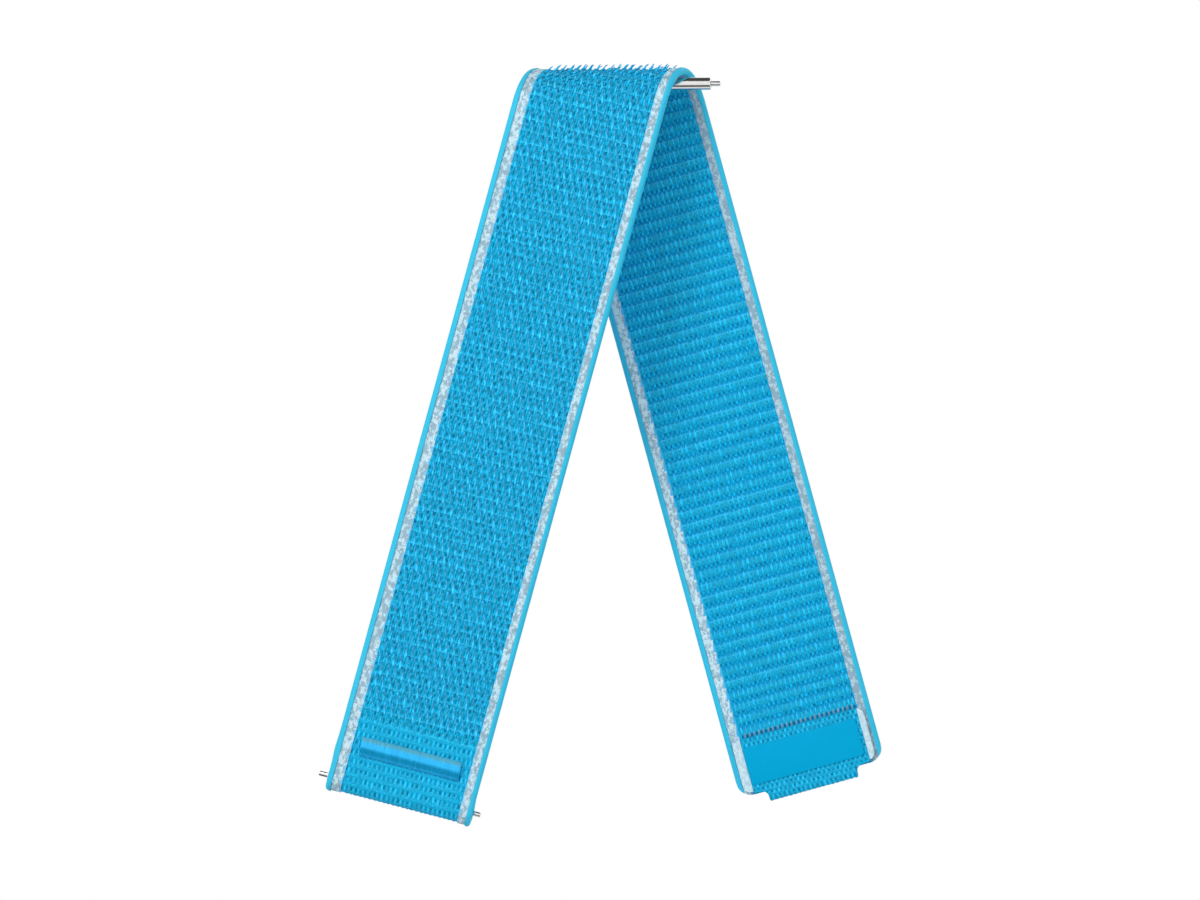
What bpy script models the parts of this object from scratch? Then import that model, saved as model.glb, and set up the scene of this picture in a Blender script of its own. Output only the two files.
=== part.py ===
"""Woven nylon watch strap, draped over a loose spring bar, with a second spring bar sewn into its front end.

Metres, +Z up. The origin is the centre of the loose bar, whose axis is X. Seen from -Y the front leg
hangs down to the left and shows its looped side. The rear leg hangs behind it, down to the right, and
shows its ribbed side. The webbing is one flat ribbon that crosses the bar at a slant, so the fold is
a helix: at a steady distance round the bar the ribbon only shifts sideways.

Three coordinates place everything on the webbing: s runs along it from the crown of the fold, w runs
across it, and t runs through it, from the middle of its thickness towards the looped side.
"""

import math

import bmesh
import bpy
from mathutils import Matrix, Vector

# Webbing
STRAP_WIDTH = 0.0220
STRAP_THICKNESS = 0.0012
SELVEDGE_WIDTH = 0.0008
REFLECTIVE_WIDTH = 0.00145
REFLECTIVE_INSET = 0.00010
FRONT_LENGTH = 0.1138
REAR_LENGTH = 0.1089
TAIL_CORNER_RADIUS = 0.0023
FOLD_RADIUS = 0.0050
FOLD_SKEW = math.radians(14.8)
LEG_LEAN = math.radians(4.1)
SEAM_GAP = 0.00002

# Ribs across the inner side
RIB_PITCH = 0.00178
RIB_HEIGHT = 0.00014
RIB_INSET = 0.00004
RIBS_FROM_END = 0.0091

# Raised rows of loops on the outer side
PILE_HEIGHT = 0.00022
PILE_INSET = 0.00010
PILE_ROW_PITCH = 0.00175
PILE_ROW_DEPTH = 0.00010
FRONT_BARE_LENGTH = 0.0113
REAR_BARE_LENGTH = 0.0204

# Sewn loop round the lower bar, and the tack that closes it
LOOP_CLEARANCE = 0.00005
LOOP_CLOSING = math.radians(27.0)
LOOP_BEND_RADIUS = 0.0012
LAP_LENGTH = 0.0036
TACK_LENGTH = 0.0150
TACK_WIDTH = 0.0029
TACK_HEIGHT = 0.00060
TACK_OFFSET = 0.0002
TACK_FROM_BAR = 0.0052

# Free end: tab, end turned back over the ribbed side, stitches, label panel and hook pad
TAIL_PLY = 0.0006
TAB_REACH = 0.0015
TAB_WIDTH = 0.0133
TAB_FILLET = 0.00095
TURN_BACK_LENGTH = 0.0081
TURN_BACK_WIDTH = 0.0200
TURN_BACK_FOOT = 0.00045
TURN_BACK_CORNER = 0.0011
LABEL_WIDTH = 0.0172
LABEL_HEIGHT = 0.0055
LABEL_THICKNESS = 0.00016
LABEL_CORNER = 0.0005
LABEL_FROM_END = 0.0013
STITCH_PITCH = 0.00072
STITCH_LENGTH = 0.0005
STITCH_THICKNESS = 0.00014
STITCH_FROM_END = 0.0085
HOOK_WIDTH = 0.0165
HOOK_LENGTH = 0.0180
HOOK_THICKNESS = 0.00050
HOOK_CORNER = 0.0015
HOOK_FROM_END = 0.0012

# Spring bars
BAR_RADIUS = 0.0009
BAR_LENGTH = 0.0218
BAR_BORE_RADIUS = 0.00066
BAR_END_WALL = 0.0004
BAR_CHAMFER = 0.00010
TIP_RADIUS = 0.00036
TIP_REACH = 0.0014
TIP_CHAMFER = 0.00007
PLUNGER_LENGTH = 0.0040
RUNNING_CLEARANCE = 0.00004
SHOULDER_GAP = 0.00002
SPRING_WIRE_RADIUS = 0.00010
SPRING_CLEARANCE = 0.00005
SPRING_CURLS = 12
BAR_SEAT_GAP = 0.0003
BAR_SLID_OUT = 0.0041
SEWN_BAR_SHIFT = 0.00036

# Facets
FOLD_STEPS = 20
LOOP_STEPS = 20
BEND_STEPS = 4
TURN_STEPS = 8
CORNER_STEPS = 4
BAR_SIDES = 24
TIP_SIDES = 16
CURL_POINTS = 9

# Shares of a piece's own size, from its middle or its inner edge outwards
SELVEDGE_SHARES = ((0.0, 1.0), (0.40, 1.0), (0.75, 0.86), (0.93, 0.60), (1.0, 0.32))
REFLECTIVE_SHARES = (0.0, 0.5, 1.0)
RIB_SHARES = ((0.0, 0.0), (0.28, 1.0), (0.72, 1.0))
PILE_ROW_SHARES = ((0.0, 0.0), (0.5, 1.0))
STITCH_SHARES = ((0.0, 0.45), (0.5, 1.0))
TACK_DOME_SHARES = ((-1.0, 0.20), (-0.80, 0.60), (-0.45, 0.90), (0.0, 1.0),
                    (0.45, 0.90), (0.80, 0.60), (1.0, 0.20))
TACK_END_SHARES = ((-1.0, 0.35), (-0.985, 0.80), (-0.95, 1.0),
                   (0.95, 1.0), (0.985, 0.80), (1.0, 0.35))

# Sizes that follow from the ones above
HALF_WIDTH = STRAP_WIDTH / 2
HALF_THICKNESS = STRAP_THICKNESS / 2
SELVEDGE_START = HALF_WIDTH - SELVEDGE_WIDTH
REFLECTIVE_START = SELVEDGE_START - REFLECTIVE_WIDTH
FIELD_HALF = REFLECTIVE_START - SEAM_GAP / 2
REFLECTIVE_FACE = HALF_THICKNESS - REFLECTIVE_INSET
PILE_FACE = HALF_THICKNESS - PILE_INSET
FIELD_FACE = PILE_FACE - PILE_HEIGHT - SEAM_GAP
RIB_CREST = HALF_THICKNESS - RIB_INSET

WRAP_ANGLE = math.pi / 2 - LEG_LEAN
WRAP_LENGTH = FOLD_RADIUS * WRAP_ANGLE
FOLD_DROP = FOLD_RADIUS - HALF_THICKNESS - BAR_RADIUS - BAR_SEAT_GAP
FOLD_CENTRE = Vector((-BAR_SLID_OUT, 0.0, -FOLD_DROP))

LEG_DOWN = Vector((-math.sin(FOLD_SKEW), -math.cos(FOLD_SKEW) * math.sin(LEG_LEAN),
                   -math.cos(FOLD_SKEW) * math.cos(LEG_LEAN)))
LEG_ACROSS = Vector((math.cos(FOLD_SKEW), -math.sin(FOLD_SKEW) * math.sin(LEG_LEAN),
                     -math.sin(FOLD_SKEW) * math.cos(LEG_LEAN)))
LEG_NORMAL = Vector((0.0, -math.cos(LEG_LEAN), math.sin(LEG_LEAN)))
REAR_DOWN = Vector((-LEG_DOWN.x, -LEG_DOWN.y, LEG_DOWN.z))
REAR_NORMAL = Vector((0.0, -LEG_NORMAL.y, LEG_NORMAL.z))

LOOP_RADIUS = BAR_RADIUS + LOOP_CLEARANCE + HALF_THICKNESS
BAR_AXIS_S = FRONT_LENGTH - LOOP_RADIUS - HALF_THICKNESS

TURN_BACK_MIDDLE = -(HALF_THICKNESS + SEAM_GAP + TAIL_PLY / 2)
TURN_BACK_FACE = TURN_BACK_MIDDLE - TAIL_PLY / 2
TAIL_MIDDLE = (FIELD_FACE - RIB_CREST) / 2
TURN_RADIUS = (TAIL_MIDDLE - TURN_BACK_MIDDLE) / 2

FRONT, REAR = 1, -1
LEFT, RIGHT = -1, 1


def clear_scene():
    for obj in list(bpy.data.objects):
        bpy.data.objects.remove(obj, do_unlink=True)


def principled(name, colour, roughness, metallic=0.0):
    """One material of its own for each sub-part."""
    material = bpy.data.materials.new(name)
    material.use_nodes = True
    shader = material.node_tree.nodes["Principled BSDF"]
    shader.inputs["Base Color"].default_value = (*colour, 1.0)
    shader.inputs["Roughness"].default_value = roughness
    shader.inputs["Metallic"].default_value = metallic
    material.diffuse_color = (*colour, 1.0)
    return material


FINISHES = {
    "field": ((0.02, 0.36, 0.72), 0.80),
    "pile": ((0.03, 0.42, 0.78), 0.85),
    "selvedge": ((0.06, 0.52, 0.78), 0.60),
    "reflective": ((0.62, 0.69, 0.73), 0.45),
    "thread": ((0.05, 0.47, 0.82), 0.40),
    "label": ((0.0, 0.38, 0.75), 0.50),
    "hook": ((0.02, 0.30, 0.62), 0.65),
    "steel": ((0.78, 0.78, 0.77), 0.18, 1.0),
    "spring": ((0.60, 0.60, 0.60), 0.30, 1.0),
}


def add_axis(name, matrix, parent=None):
    """An empty on a joint's axis, which the pieces that move there hang from."""
    empty = bpy.data.objects.new(name, None)
    empty.empty_display_size = BAR_LENGTH / 2
    bpy.context.collection.objects.link(empty)
    empty.parent = parent
    empty.matrix_world = matrix
    bpy.context.view_layer.update()
    return empty


def add_piece(name, bm, finish, axis):
    """Turns a solid in the part's frame into a named object that hangs from its axis."""
    bmesh.ops.recalc_face_normals(bm, faces=bm.faces)
    bm.transform(axis.matrix_world.inverted())
    mesh = bpy.data.meshes.new(name)
    bm.to_mesh(mesh)
    bm.free()
    mesh.shade_smooth()
    mesh.set_sharp_from_angle(angle=math.radians(30.0))
    mesh.materials.append(principled(name, *FINISHES[finish]))
    obj = bpy.data.objects.new(name, mesh)
    bpy.context.collection.objects.link(obj)
    obj.parent = axis
    return obj


def slab(outer, inner):
    """A closed solid between two grids of points with the same rows and columns."""
    bm = bmesh.new()
    top = [[bm.verts.new(point) for point in row] for row in outer]
    base = [[bm.verts.new(point) for point in row] for row in inner]
    last_row, last_column = len(outer) - 1, len(outer[0]) - 1
    for i in range(last_row):
        for j in range(last_column):
            bm.faces.new((top[i][j], top[i + 1][j], top[i + 1][j + 1], top[i][j + 1]))
            bm.faces.new((base[i][j], base[i][j + 1], base[i + 1][j + 1], base[i + 1][j]))
    rim = [(0, j) for j in range(last_column)]
    rim += [(i, last_column) for i in range(last_row)]
    rim += [(last_row, j) for j in range(last_column, 0, -1)]
    rim += [(i, 0) for i in range(last_row, 0, -1)]
    for (i, j), (k, m) in zip(rim, rim[1:] + rim[:1]):
        bm.faces.new((top[i][j], top[k][m], base[k][m], base[i][j]))
    return bm


def turned(profile, sides, closed):
    """A solid of revolution about X from (x, radius) points. An open profile ends in two flat discs."""
    bm = bmesh.new()
    rings = []
    for x, radius in profile:
        turns = [2 * math.pi * k / sides for k in range(sides)]
        rings.append([bm.verts.new((x, radius * math.cos(a), radius * math.sin(a))) for a in turns])
    pairs = list(zip(rings, rings[1:]))
    if closed:
        pairs.append((rings[-1], rings[0]))
    else:
        bm.faces.new(rings[0])
        bm.faces.new(rings[-1])
    for one, other in pairs:
        for k in range(sides):
            n = (k + 1) % sides
            bm.faces.new((one[k], one[n], other[n], other[k]))
    return bm


def leg_point(side, s, w, t):
    """A point on a leg's flat plane, which runs on above the line where the fold starts."""
    drop = s * math.cos(FOLD_SKEW) + side * w * math.sin(FOLD_SKEW)
    run = drop - WRAP_LENGTH
    radius = FOLD_RADIUS + t
    x = w / math.cos(FOLD_SKEW) - side * drop * math.tan(FOLD_SKEW)
    y = -side * (radius * math.sin(WRAP_ANGLE) + run * math.sin(LEG_LEAN))
    z = radius * math.cos(WRAP_ANGLE) - run * math.cos(LEG_LEAN)
    return FOLD_CENTRE + Vector((x, y, z))


def fold_point(turn, w, t):
    """A point on the fold, at an angle from the crown, towards the front leg where it is positive."""
    radius = FOLD_RADIUS + t
    x = w / math.cos(FOLD_SKEW) - turn * FOLD_RADIUS * math.tan(FOLD_SKEW)
    return FOLD_CENTRE + Vector((x, -radius * math.sin(turn), radius * math.cos(turn)))


def leg_top(side, w):
    """The s at which the leg starts, on the line where the webbing leaves the fold."""
    return (WRAP_LENGTH + SEAM_GAP - side * w * math.sin(FOLD_SKEW)) / math.cos(FOLD_SKEW)


def selvedge_columns(side):
    """Columns (w, outer t, inner t) of the rounded selvedge on one side."""
    start = SELVEDGE_START + SEAM_GAP / 2
    width = HALF_WIDTH - start
    return [(side * (start + across * width), through * HALF_THICKNESS, -through * HALF_THICKNESS)
            for across, through in SELVEDGE_SHARES]


def reflective_columns(side):
    start = REFLECTIVE_START + SEAM_GAP / 2
    width = REFLECTIVE_WIDTH - SEAM_GAP
    return [(side * (start + across * width), REFLECTIVE_FACE, -REFLECTIVE_FACE)
            for across in REFLECTIVE_SHARES]


def field_columns():
    return [(-FIELD_HALF, FIELD_FACE, -RIB_CREST), (FIELD_HALF, FIELD_FACE, -RIB_CREST)]


def pile_columns():
    base = FIELD_FACE + SEAM_GAP
    return [(-FIELD_HALF, PILE_FACE, base), (FIELD_HALF, PILE_FACE, base)]


def tail_end(w):
    """The s at which the rear leg ends, rounded at both corners."""
    beyond = abs(w) - (HALF_WIDTH - TAIL_CORNER_RADIUS)
    if beyond <= 0.0:
        return REAR_LENGTH
    return REAR_LENGTH - TAIL_CORNER_RADIUS + math.sqrt(max(TAIL_CORNER_RADIUS ** 2 - beyond ** 2, 0.0))


def front_end(w):
    return BAR_AXIS_S - SEAM_GAP


def grids(rows, columns, place):
    """The outer and the inner grid: place(row, w, t) for every row and every (w, outer t, inner t)."""
    outer = [[place(row, w, high) for w, high, low in columns] for row in rows]
    inner = [[place(row, w, low) for w, high, low in columns] for row in rows]
    return outer, inner


def leg_strip(side, columns, end):
    """A flat strip of a leg, from the fold's edge to the leg's own end."""
    def place(share, w, t):
        s = leg_top(side, w) + share * (end(w) - leg_top(side, w))
        return leg_point(side, s, w, t)
    return slab(*grids((0.0, 1.0), columns, place))


def fold_strip(columns):
    limit = WRAP_ANGLE - SEAM_GAP / FOLD_RADIUS
    turns = [limit * (2 * k / FOLD_STEPS - 1) for k in range(FOLD_STEPS + 1)]
    return slab(*grids(turns, columns, fold_point))


def waved_rows(first, last, pitch, shares):
    """Rows (s, height share) of a repeated profile, with flat ground before and after it."""
    count = max(int((last - first) / pitch), 1)
    rows = [(first + (k + along) * pitch, height) for k in range(count) for along, height in shares]
    return rows + [(first + count * pitch, 0.0)]


def cut_above_leg(bm, side):
    """Cuts a leg's solid square on the line where the fold starts, and caps it."""
    direction = LEG_DOWN if side == FRONT else REAR_DOWN
    square = Vector((0.0, direction.y, direction.z)).normalized()
    start = leg_point(side, leg_top(side, 0.0), 0.0, 0.0)
    geometry = bm.verts[:] + bm.edges[:] + bm.faces[:]
    cut = bmesh.ops.bisect_plane(bm, geom=geometry, dist=SEAM_GAP / 1000, plane_co=start, plane_no=square,
                                 clear_inner=True)
    edges = [item for item in cut["geom_cut"] if isinstance(item, bmesh.types.BMEdge)]
    bmesh.ops.contextual_create(bm, geom=edges)
    return bm


def ribbed_field(side, end, ribs_end):
    """The centre field of a leg: flat under the loops, ribbed across its inner side."""
    first = leg_top(side, side * FIELD_HALF) - RIB_PITCH
    rows = waved_rows(first, ribs_end, RIB_PITCH, RIB_SHARES)
    rows.append((end, 1.0))
    valley = RIB_CREST - RIB_HEIGHT
    outer = [[leg_point(side, s, w, FIELD_FACE) for w in (-FIELD_HALF, FIELD_HALF)] for s, height in rows]
    inner = [[leg_point(side, s, w, -(valley + height * RIB_HEIGHT)) for w in (-FIELD_HALF, FIELD_HALF)]
             for s, height in rows]
    return cut_above_leg(slab(outer, inner), side)


def leg_pile(side, end):
    """The raised rows of loops on a leg's outer side."""
    first = leg_top(side, side * FIELD_HALF) - PILE_ROW_PITCH
    rows = waved_rows(first, end, PILE_ROW_PITCH, PILE_ROW_SHARES)
    low = PILE_FACE - PILE_ROW_DEPTH
    base = FIELD_FACE + SEAM_GAP
    outer = [[leg_point(side, s, w, low + height * PILE_ROW_DEPTH) for w in (-FIELD_HALF, FIELD_HALF)]
             for s, height in rows]
    inner = [[leg_point(side, s, w, base) for w in (-FIELD_HALF, FIELD_HALF)] for s, height in rows]
    return cut_above_leg(slab(outer, inner), side)


def loop_path():
    """(position, normal) pairs of the middle of the webbing round the sewn bar, down the leg and through it.

    The webbing turns past half a circle round the bar, runs straight in until it meets the back of the
    front ply, and bends back to lie along it under the tack.
    """
    def heading(angle):
        return Vector((math.sin(angle), math.cos(angle)))

    centre = Vector((0.0, -LOOP_RADIUS))
    turn = math.pi + LOOP_CLOSING
    path = [(centre + LOOP_RADIUS * heading(turn * k / LOOP_STEPS), heading(turn * k / LOOP_STEPS))
            for k in range(LOOP_STEPS + 1)]
    lap = -(STRAP_THICKNESS + SEAM_GAP)
    rise = lap - LOOP_BEND_RADIUS * (1 - math.cos(LOOP_CLOSING)) - path[-1][0].y
    bend_start = path[-1][0].x - rise / math.tan(LOOP_CLOSING)
    bend = Vector((bend_start - LOOP_BEND_RADIUS * math.sin(LOOP_CLOSING), lap - LOOP_BEND_RADIUS))
    for k in range(BEND_STEPS + 1):
        angle = LOOP_CLOSING * (1 - k / BEND_STEPS)
        path.append((bend + LOOP_BEND_RADIUS * heading(angle), -heading(angle)))
    path.append((path[-1][0] - Vector((LAP_LENGTH, 0.0)), path[-1][1]))
    return path


def loop_strip(columns):
    def place(station, w, t):
        (along, out), (normal_along, normal_out) = station
        base = leg_point(FRONT, BAR_AXIS_S, w, 0.0)
        return base + LEG_DOWN * (along + t * normal_along) + LEG_NORMAL * (out + t * normal_out)
    return slab(*grids(loop_path(), columns, place))


def rounded_ends(w_low, w_high, s_low, s_high, corner, both):
    """Columns (w, low s, high s) of a panel whose outer corners, or all corners, are rounded."""
    turns = [math.pi / 2 * k / CORNER_STEPS for k in range(CORNER_STEPS + 1)]
    outer = [(w_high - corner + corner * math.sin(a), corner * (1 - math.cos(a))) for a in turns]
    if both:
        start = [(w_low + w_high - w, cut) for w, cut in reversed(outer)]
    else:
        start = [(w_low, 0.0)]
    return [(w, s_low + cut, s_high - cut) for w, cut in start + outer]


def panel(side, columns, top, base):
    """A flat panel on a leg, between two levels of t."""
    outer = [[leg_point(side, low, w, top) for w, low, high in columns],
             [leg_point(side, high, w, top) for w, low, high in columns]]
    inner = [[leg_point(side, low, w, base) for w, low, high in columns],
             [leg_point(side, high, w, base) for w, low, high in columns]]
    return slab(outer, inner)


def turn_back_path():
    """(distance past the strap's end, t, normal, half width) of the tab and the end that it turns back."""
    flat = TAB_REACH - TURN_RADIUS - TAIL_PLY / 2
    half_tab = TAB_WIDTH / 2
    fillet = [math.pi / 2 * (1 - k / CORNER_STEPS) for k in range(CORNER_STEPS + 1)]
    notch = [(flat - TAB_FILLET * math.sin(a), half_tab + TAB_FILLET * (1 - math.cos(a))) for a in fillet]
    down = [(max(x, SEAM_GAP), TAIL_MIDDLE, (0.0, 1.0), half) for x, half in notch]
    turn = []
    for k in range(1, TURN_STEPS):
        angle = math.pi * k / TURN_STEPS
        sine, cosine = math.sin(angle), math.cos(angle)
        middle = TAIL_MIDDLE - TURN_RADIUS * (1 - cosine)
        turn.append((flat + TURN_RADIUS * sine, middle, (sine, cosine), half_tab))
    back = [(x, TURN_BACK_MIDDLE, (0.0, -1.0), half) for x, half in reversed(notch)]
    foot = [(-TURN_BACK_FOOT, TURN_BACK_MIDDLE, (0.0, -1.0), FIELD_HALF),
            (-TURN_BACK_LENGTH, TURN_BACK_MIDDLE, (0.0, -1.0), FIELD_HALF)]
    return down + turn + back + foot


def turned_back_end():
    outer, inner = [], []
    for along, middle, (normal_along, normal_out), half in turn_back_path():
        for rows, t in ((outer, TAIL_PLY / 2), (inner, -TAIL_PLY / 2)):
            base = [leg_point(REAR, REAR_LENGTH, w, 0.0) for w in (-half, half)]
            shift = REAR_DOWN * (along + t * normal_along) + REAR_NORMAL * (middle + t * normal_out)
            rows.append([point + shift for point in base])
    return slab(outer, inner)


def turned_back_strip(side):
    """The reflective band at one side of the turned-back end."""
    start = FIELD_HALF + SEAM_GAP
    low, high = REAR_LENGTH - TURN_BACK_LENGTH, REAR_LENGTH - TURN_BACK_FOOT
    columns = rounded_ends(start, TURN_BACK_WIDTH / 2, low, high, TURN_BACK_CORNER, both=False)
    columns = [(side * w, one, other) for w, one, other in columns]
    return panel(REAR, columns, TURN_BACK_FACE + TAIL_PLY, TURN_BACK_FACE)


def label_panel():
    high = REAR_LENGTH - LABEL_FROM_END
    half = LABEL_WIDTH / 2
    columns = rounded_ends(-half, half, high - LABEL_HEIGHT, high, LABEL_CORNER, both=True)
    seat = TURN_BACK_FACE - SEAM_GAP
    return panel(REAR, columns, seat, seat - LABEL_THICKNESS)


def hook_pad():
    high = REAR_LENGTH - HOOK_FROM_END
    half = HOOK_WIDTH / 2
    columns = rounded_ends(-half, half, high - HOOK_LENGTH, high, HOOK_CORNER, both=True)
    seat = FIELD_FACE + SEAM_GAP
    return panel(REAR, columns, seat + HOOK_THICKNESS, seat)


def stitch_row():
    """One row of stitches across the strap, just above the turned-back end."""
    count = int(2 * FIELD_HALF / STITCH_PITCH)
    start = -count * STITCH_PITCH / 2
    across = [(start + (k + share) * STITCH_PITCH, height)
              for k in range(count) for share, height in STITCH_SHARES]
    across.append((-start, STITCH_SHARES[0][1]))
    middle = REAR_LENGTH - STITCH_FROM_END
    rows = (middle - STITCH_LENGTH / 2, middle + STITCH_LENGTH / 2)
    seat = -(RIB_CREST + SEAM_GAP)
    outer = [[leg_point(REAR, s, w, seat) for w, height in across] for s in rows]
    inner = [[leg_point(REAR, s, w, seat - height * STITCH_THICKNESS) for w, height in across]
             for s in rows]
    return slab(outer, inner)


def bar_tack():
    """The domed block of satin stitches that closes the loop."""
    middle = BAR_AXIS_S - TACK_FROM_BAR
    seat = FIELD_FACE + SEAM_GAP

    def place(v, u, rise):
        across = TACK_OFFSET + u * TACK_LENGTH / 2
        return leg_point(FRONT, middle + v * TACK_WIDTH / 2, across, seat + rise * TACK_HEIGHT)

    outer = [[place(v, u, dome * end) for u, end in TACK_END_SHARES] for v, dome in TACK_DOME_SHARES]
    inner = [[place(v, u, 0.0) for u, end in TACK_END_SHARES] for v, dome in TACK_DOME_SHARES]
    return slab(outer, inner)


def bar_tube():
    """A thin tube, bored out and closed in at both ends round the tips."""
    end = BAR_LENGTH / 2
    hole = TIP_RADIUS + RUNNING_CLEARANCE
    half = [(end, hole), (end, BAR_RADIUS - BAR_CHAMFER), (end - BAR_CHAMFER, BAR_RADIUS)]
    outside = half + [(-x, radius) for x, radius in reversed(half)]
    wall = end - BAR_END_WALL
    inside = [(-wall, hole), (-wall, BAR_BORE_RADIUS), (wall, BAR_BORE_RADIUS), (wall, hole)]
    return turned(outside + inside, BAR_SIDES, closed=True)


def bar_tip(side):
    """A tip with its plunger, whose shoulder stops against the tube's end wall."""
    shoulder = BAR_LENGTH / 2 - BAR_END_WALL - SHOULDER_GAP
    plunger = BAR_BORE_RADIUS - RUNNING_CLEARANCE
    reach = BAR_LENGTH / 2 + TIP_REACH
    foot = shoulder - PLUNGER_LENGTH
    profile = [(foot, plunger - TIP_CHAMFER), (foot + TIP_CHAMFER, plunger), (shoulder, plunger),
               (shoulder, TIP_RADIUS), (reach - TIP_CHAMFER, TIP_RADIUS), (reach, TIP_RADIUS - TIP_CHAMFER)]
    return turned([(side * x, radius) for x, radius in profile], TIP_SIDES, closed=False)


def spring_length():
    plunger_end = BAR_LENGTH / 2 - BAR_END_WALL - SHOULDER_GAP - PLUNGER_LENGTH
    return 2 * (plunger_end - SPRING_CLEARANCE)


def add_spring(name, axis):
    """A coil spring between the two plungers: one unbroken round wire."""
    wire = 2 * SPRING_WIRE_RADIUS
    coil = BAR_BORE_RADIUS - SPRING_CLEARANCE - SPRING_WIRE_RADIUS
    length = spring_length() - 2 * wire
    count = SPRING_CURLS * CURL_POINTS
    points = []
    for k in range(count + 1):
        angle = 2 * math.pi * k / CURL_POINTS
        points.append(Vector((length * (k / count - 0.5), coil * math.cos(angle), coil * math.sin(angle))))
    least = length / SPRING_CURLS - wire
    print(f"{name}: least gap between curls {least * 1000:.2f} mm")
    points.insert(0, points[0] - Vector((wire, 0.0, 0.0)))
    points.append(points[-1] + Vector((wire, 0.0, 0.0)))
    curve = bpy.data.curves.new(name, "CURVE")
    curve.dimensions = "3D"
    curve.bevel_depth = SPRING_WIRE_RADIUS
    curve.bevel_resolution = 1
    curve.use_fill_caps = True
    spline = curve.splines.new("POLY")
    spline.points.add(len(points) - 1)
    for target, point in zip(spline.points, points):
        target.co = (*point, 1.0)
    curve.materials.append(principled(name, *FINISHES["spring"]))
    obj = bpy.data.objects.new(name, curve)
    bpy.context.collection.objects.link(obj)
    obj.parent = axis
    return obj


def add_spring_bar(prefix, axis):
    """Tube, two sprung tips and their spring, along the axis empty's own X."""
    def add_turned(name, bm, finish, parent):
        bm.transform(axis.matrix_world)
        add_piece(name, bm, finish, parent)

    add_turned(f"{prefix}_tube", bar_tube(), "steel", axis)
    for side, word in ((LEFT, "left"), (RIGHT, "right")):
        shift = Matrix.Translation((side * BAR_LENGTH / 2, 0.0, 0.0))
        tip_axis = add_axis(f"{prefix}_tip_{word}_axis", axis.matrix_world @ shift, axis)
        add_turned(f"{prefix}_tip_{word}", bar_tip(side), "steel", tip_axis)
    add_spring(f"{prefix}_spring", axis)


def zones():
    """(name, finish, columns) of the yarn zones that run the whole length of the webbing."""
    for side, word in ((LEFT, "left"), (RIGHT, "right")):
        yield f"selvedge_{word}", "selvedge", selvedge_columns(side)
        yield f"reflective_{word}", "reflective", reflective_columns(side)


def build_fold(axis):
    add_piece("fold_field", fold_strip(field_columns()), "field", axis)
    add_piece("fold_pile", fold_strip(pile_columns()), "pile", axis)
    for name, finish, columns in zones():
        add_piece(f"fold_{name}", fold_strip(columns), finish, axis)


def build_front_leg(axis):
    field_end = front_end(0.0)
    add_piece("front_field", ribbed_field(FRONT, field_end, field_end - LAP_LENGTH), "field", axis)
    add_piece("front_pile", leg_pile(FRONT, FRONT_LENGTH - FRONT_BARE_LENGTH), "pile", axis)
    for name, finish, columns in zones():
        add_piece(f"front_{name}", leg_strip(FRONT, columns, front_end), finish, axis)
        add_piece(f"loop_{name}", loop_strip(columns), finish, axis)
    add_piece("loop_field", loop_strip(field_columns()), "field", axis)
    add_piece("loop_bar_tack", bar_tack(), "thread", axis)


def build_rear_leg(axis):
    add_piece("rear_field", ribbed_field(REAR, REAR_LENGTH, REAR_LENGTH - RIBS_FROM_END), "field", axis)
    add_piece("rear_pile", leg_pile(REAR, REAR_LENGTH - REAR_BARE_LENGTH), "pile", axis)
    for name, finish, columns in zones():
        add_piece(f"rear_{name}", leg_strip(REAR, columns, tail_end), finish, axis)
    add_piece("tail_turned_back", turned_back_end(), "field", axis)
    add_piece("tail_reflective_left", turned_back_strip(LEFT), "reflective", axis)
    add_piece("tail_reflective_right", turned_back_strip(RIGHT), "reflective", axis)
    add_piece("tail_stitch_row", stitch_row(), "thread", axis)
    add_piece("tail_label_panel", label_panel(), "label", axis)
    add_piece("tail_hook_pad", hook_pad(), "hook", axis)


def sewn_bar_frame():
    """The sewn bar's own frame: X along the bar, Z up the leg."""
    place = leg_point(FRONT, BAR_AXIS_S, -SEWN_BAR_SHIFT, -LOOP_RADIUS)
    turn = Matrix((LEG_ACROSS, -LEG_NORMAL, -LEG_DOWN)).transposed().to_4x4()
    return Matrix.Translation(place) @ turn


def main():
    clear_scene()
    loose_bar = add_axis("loose_bar_axis", Matrix.Identity(4))
    fold = add_axis("fold_axis", Matrix.Translation(FOLD_CENTRE), loose_bar)
    front = add_axis("front_leg_axis", Matrix.Translation(FOLD_CENTRE), fold)
    rear = add_axis("rear_leg_axis", Matrix.Translation(FOLD_CENTRE), fold)
    sewn_bar = add_axis("sewn_bar_axis", sewn_bar_frame(), front)
    add_spring_bar("loose_bar", loose_bar)
    add_spring_bar("sewn_bar", sewn_bar)
    build_fold(fold)
    build_front_leg(front)
    build_rear_leg(rear)


main()
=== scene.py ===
"""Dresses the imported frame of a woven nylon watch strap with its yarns, bands, seams and spring bars.

The webbing is modelled flat, in its own coordinates, and then laid over the bar. Flat X runs across the
ribbon, flat Y runs along it, from the sewn end below zero over the crown of the fold at zero to the free
end above zero, and flat Z runs through it, out of the looped side. All sizes are in metres.
"""

import math

import bmesh
import bpy
import numpy as np
from bpy.props import FloatProperty, FloatVectorProperty, IntProperty, PointerProperty
from mathutils import Matrix, Vector


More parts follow.
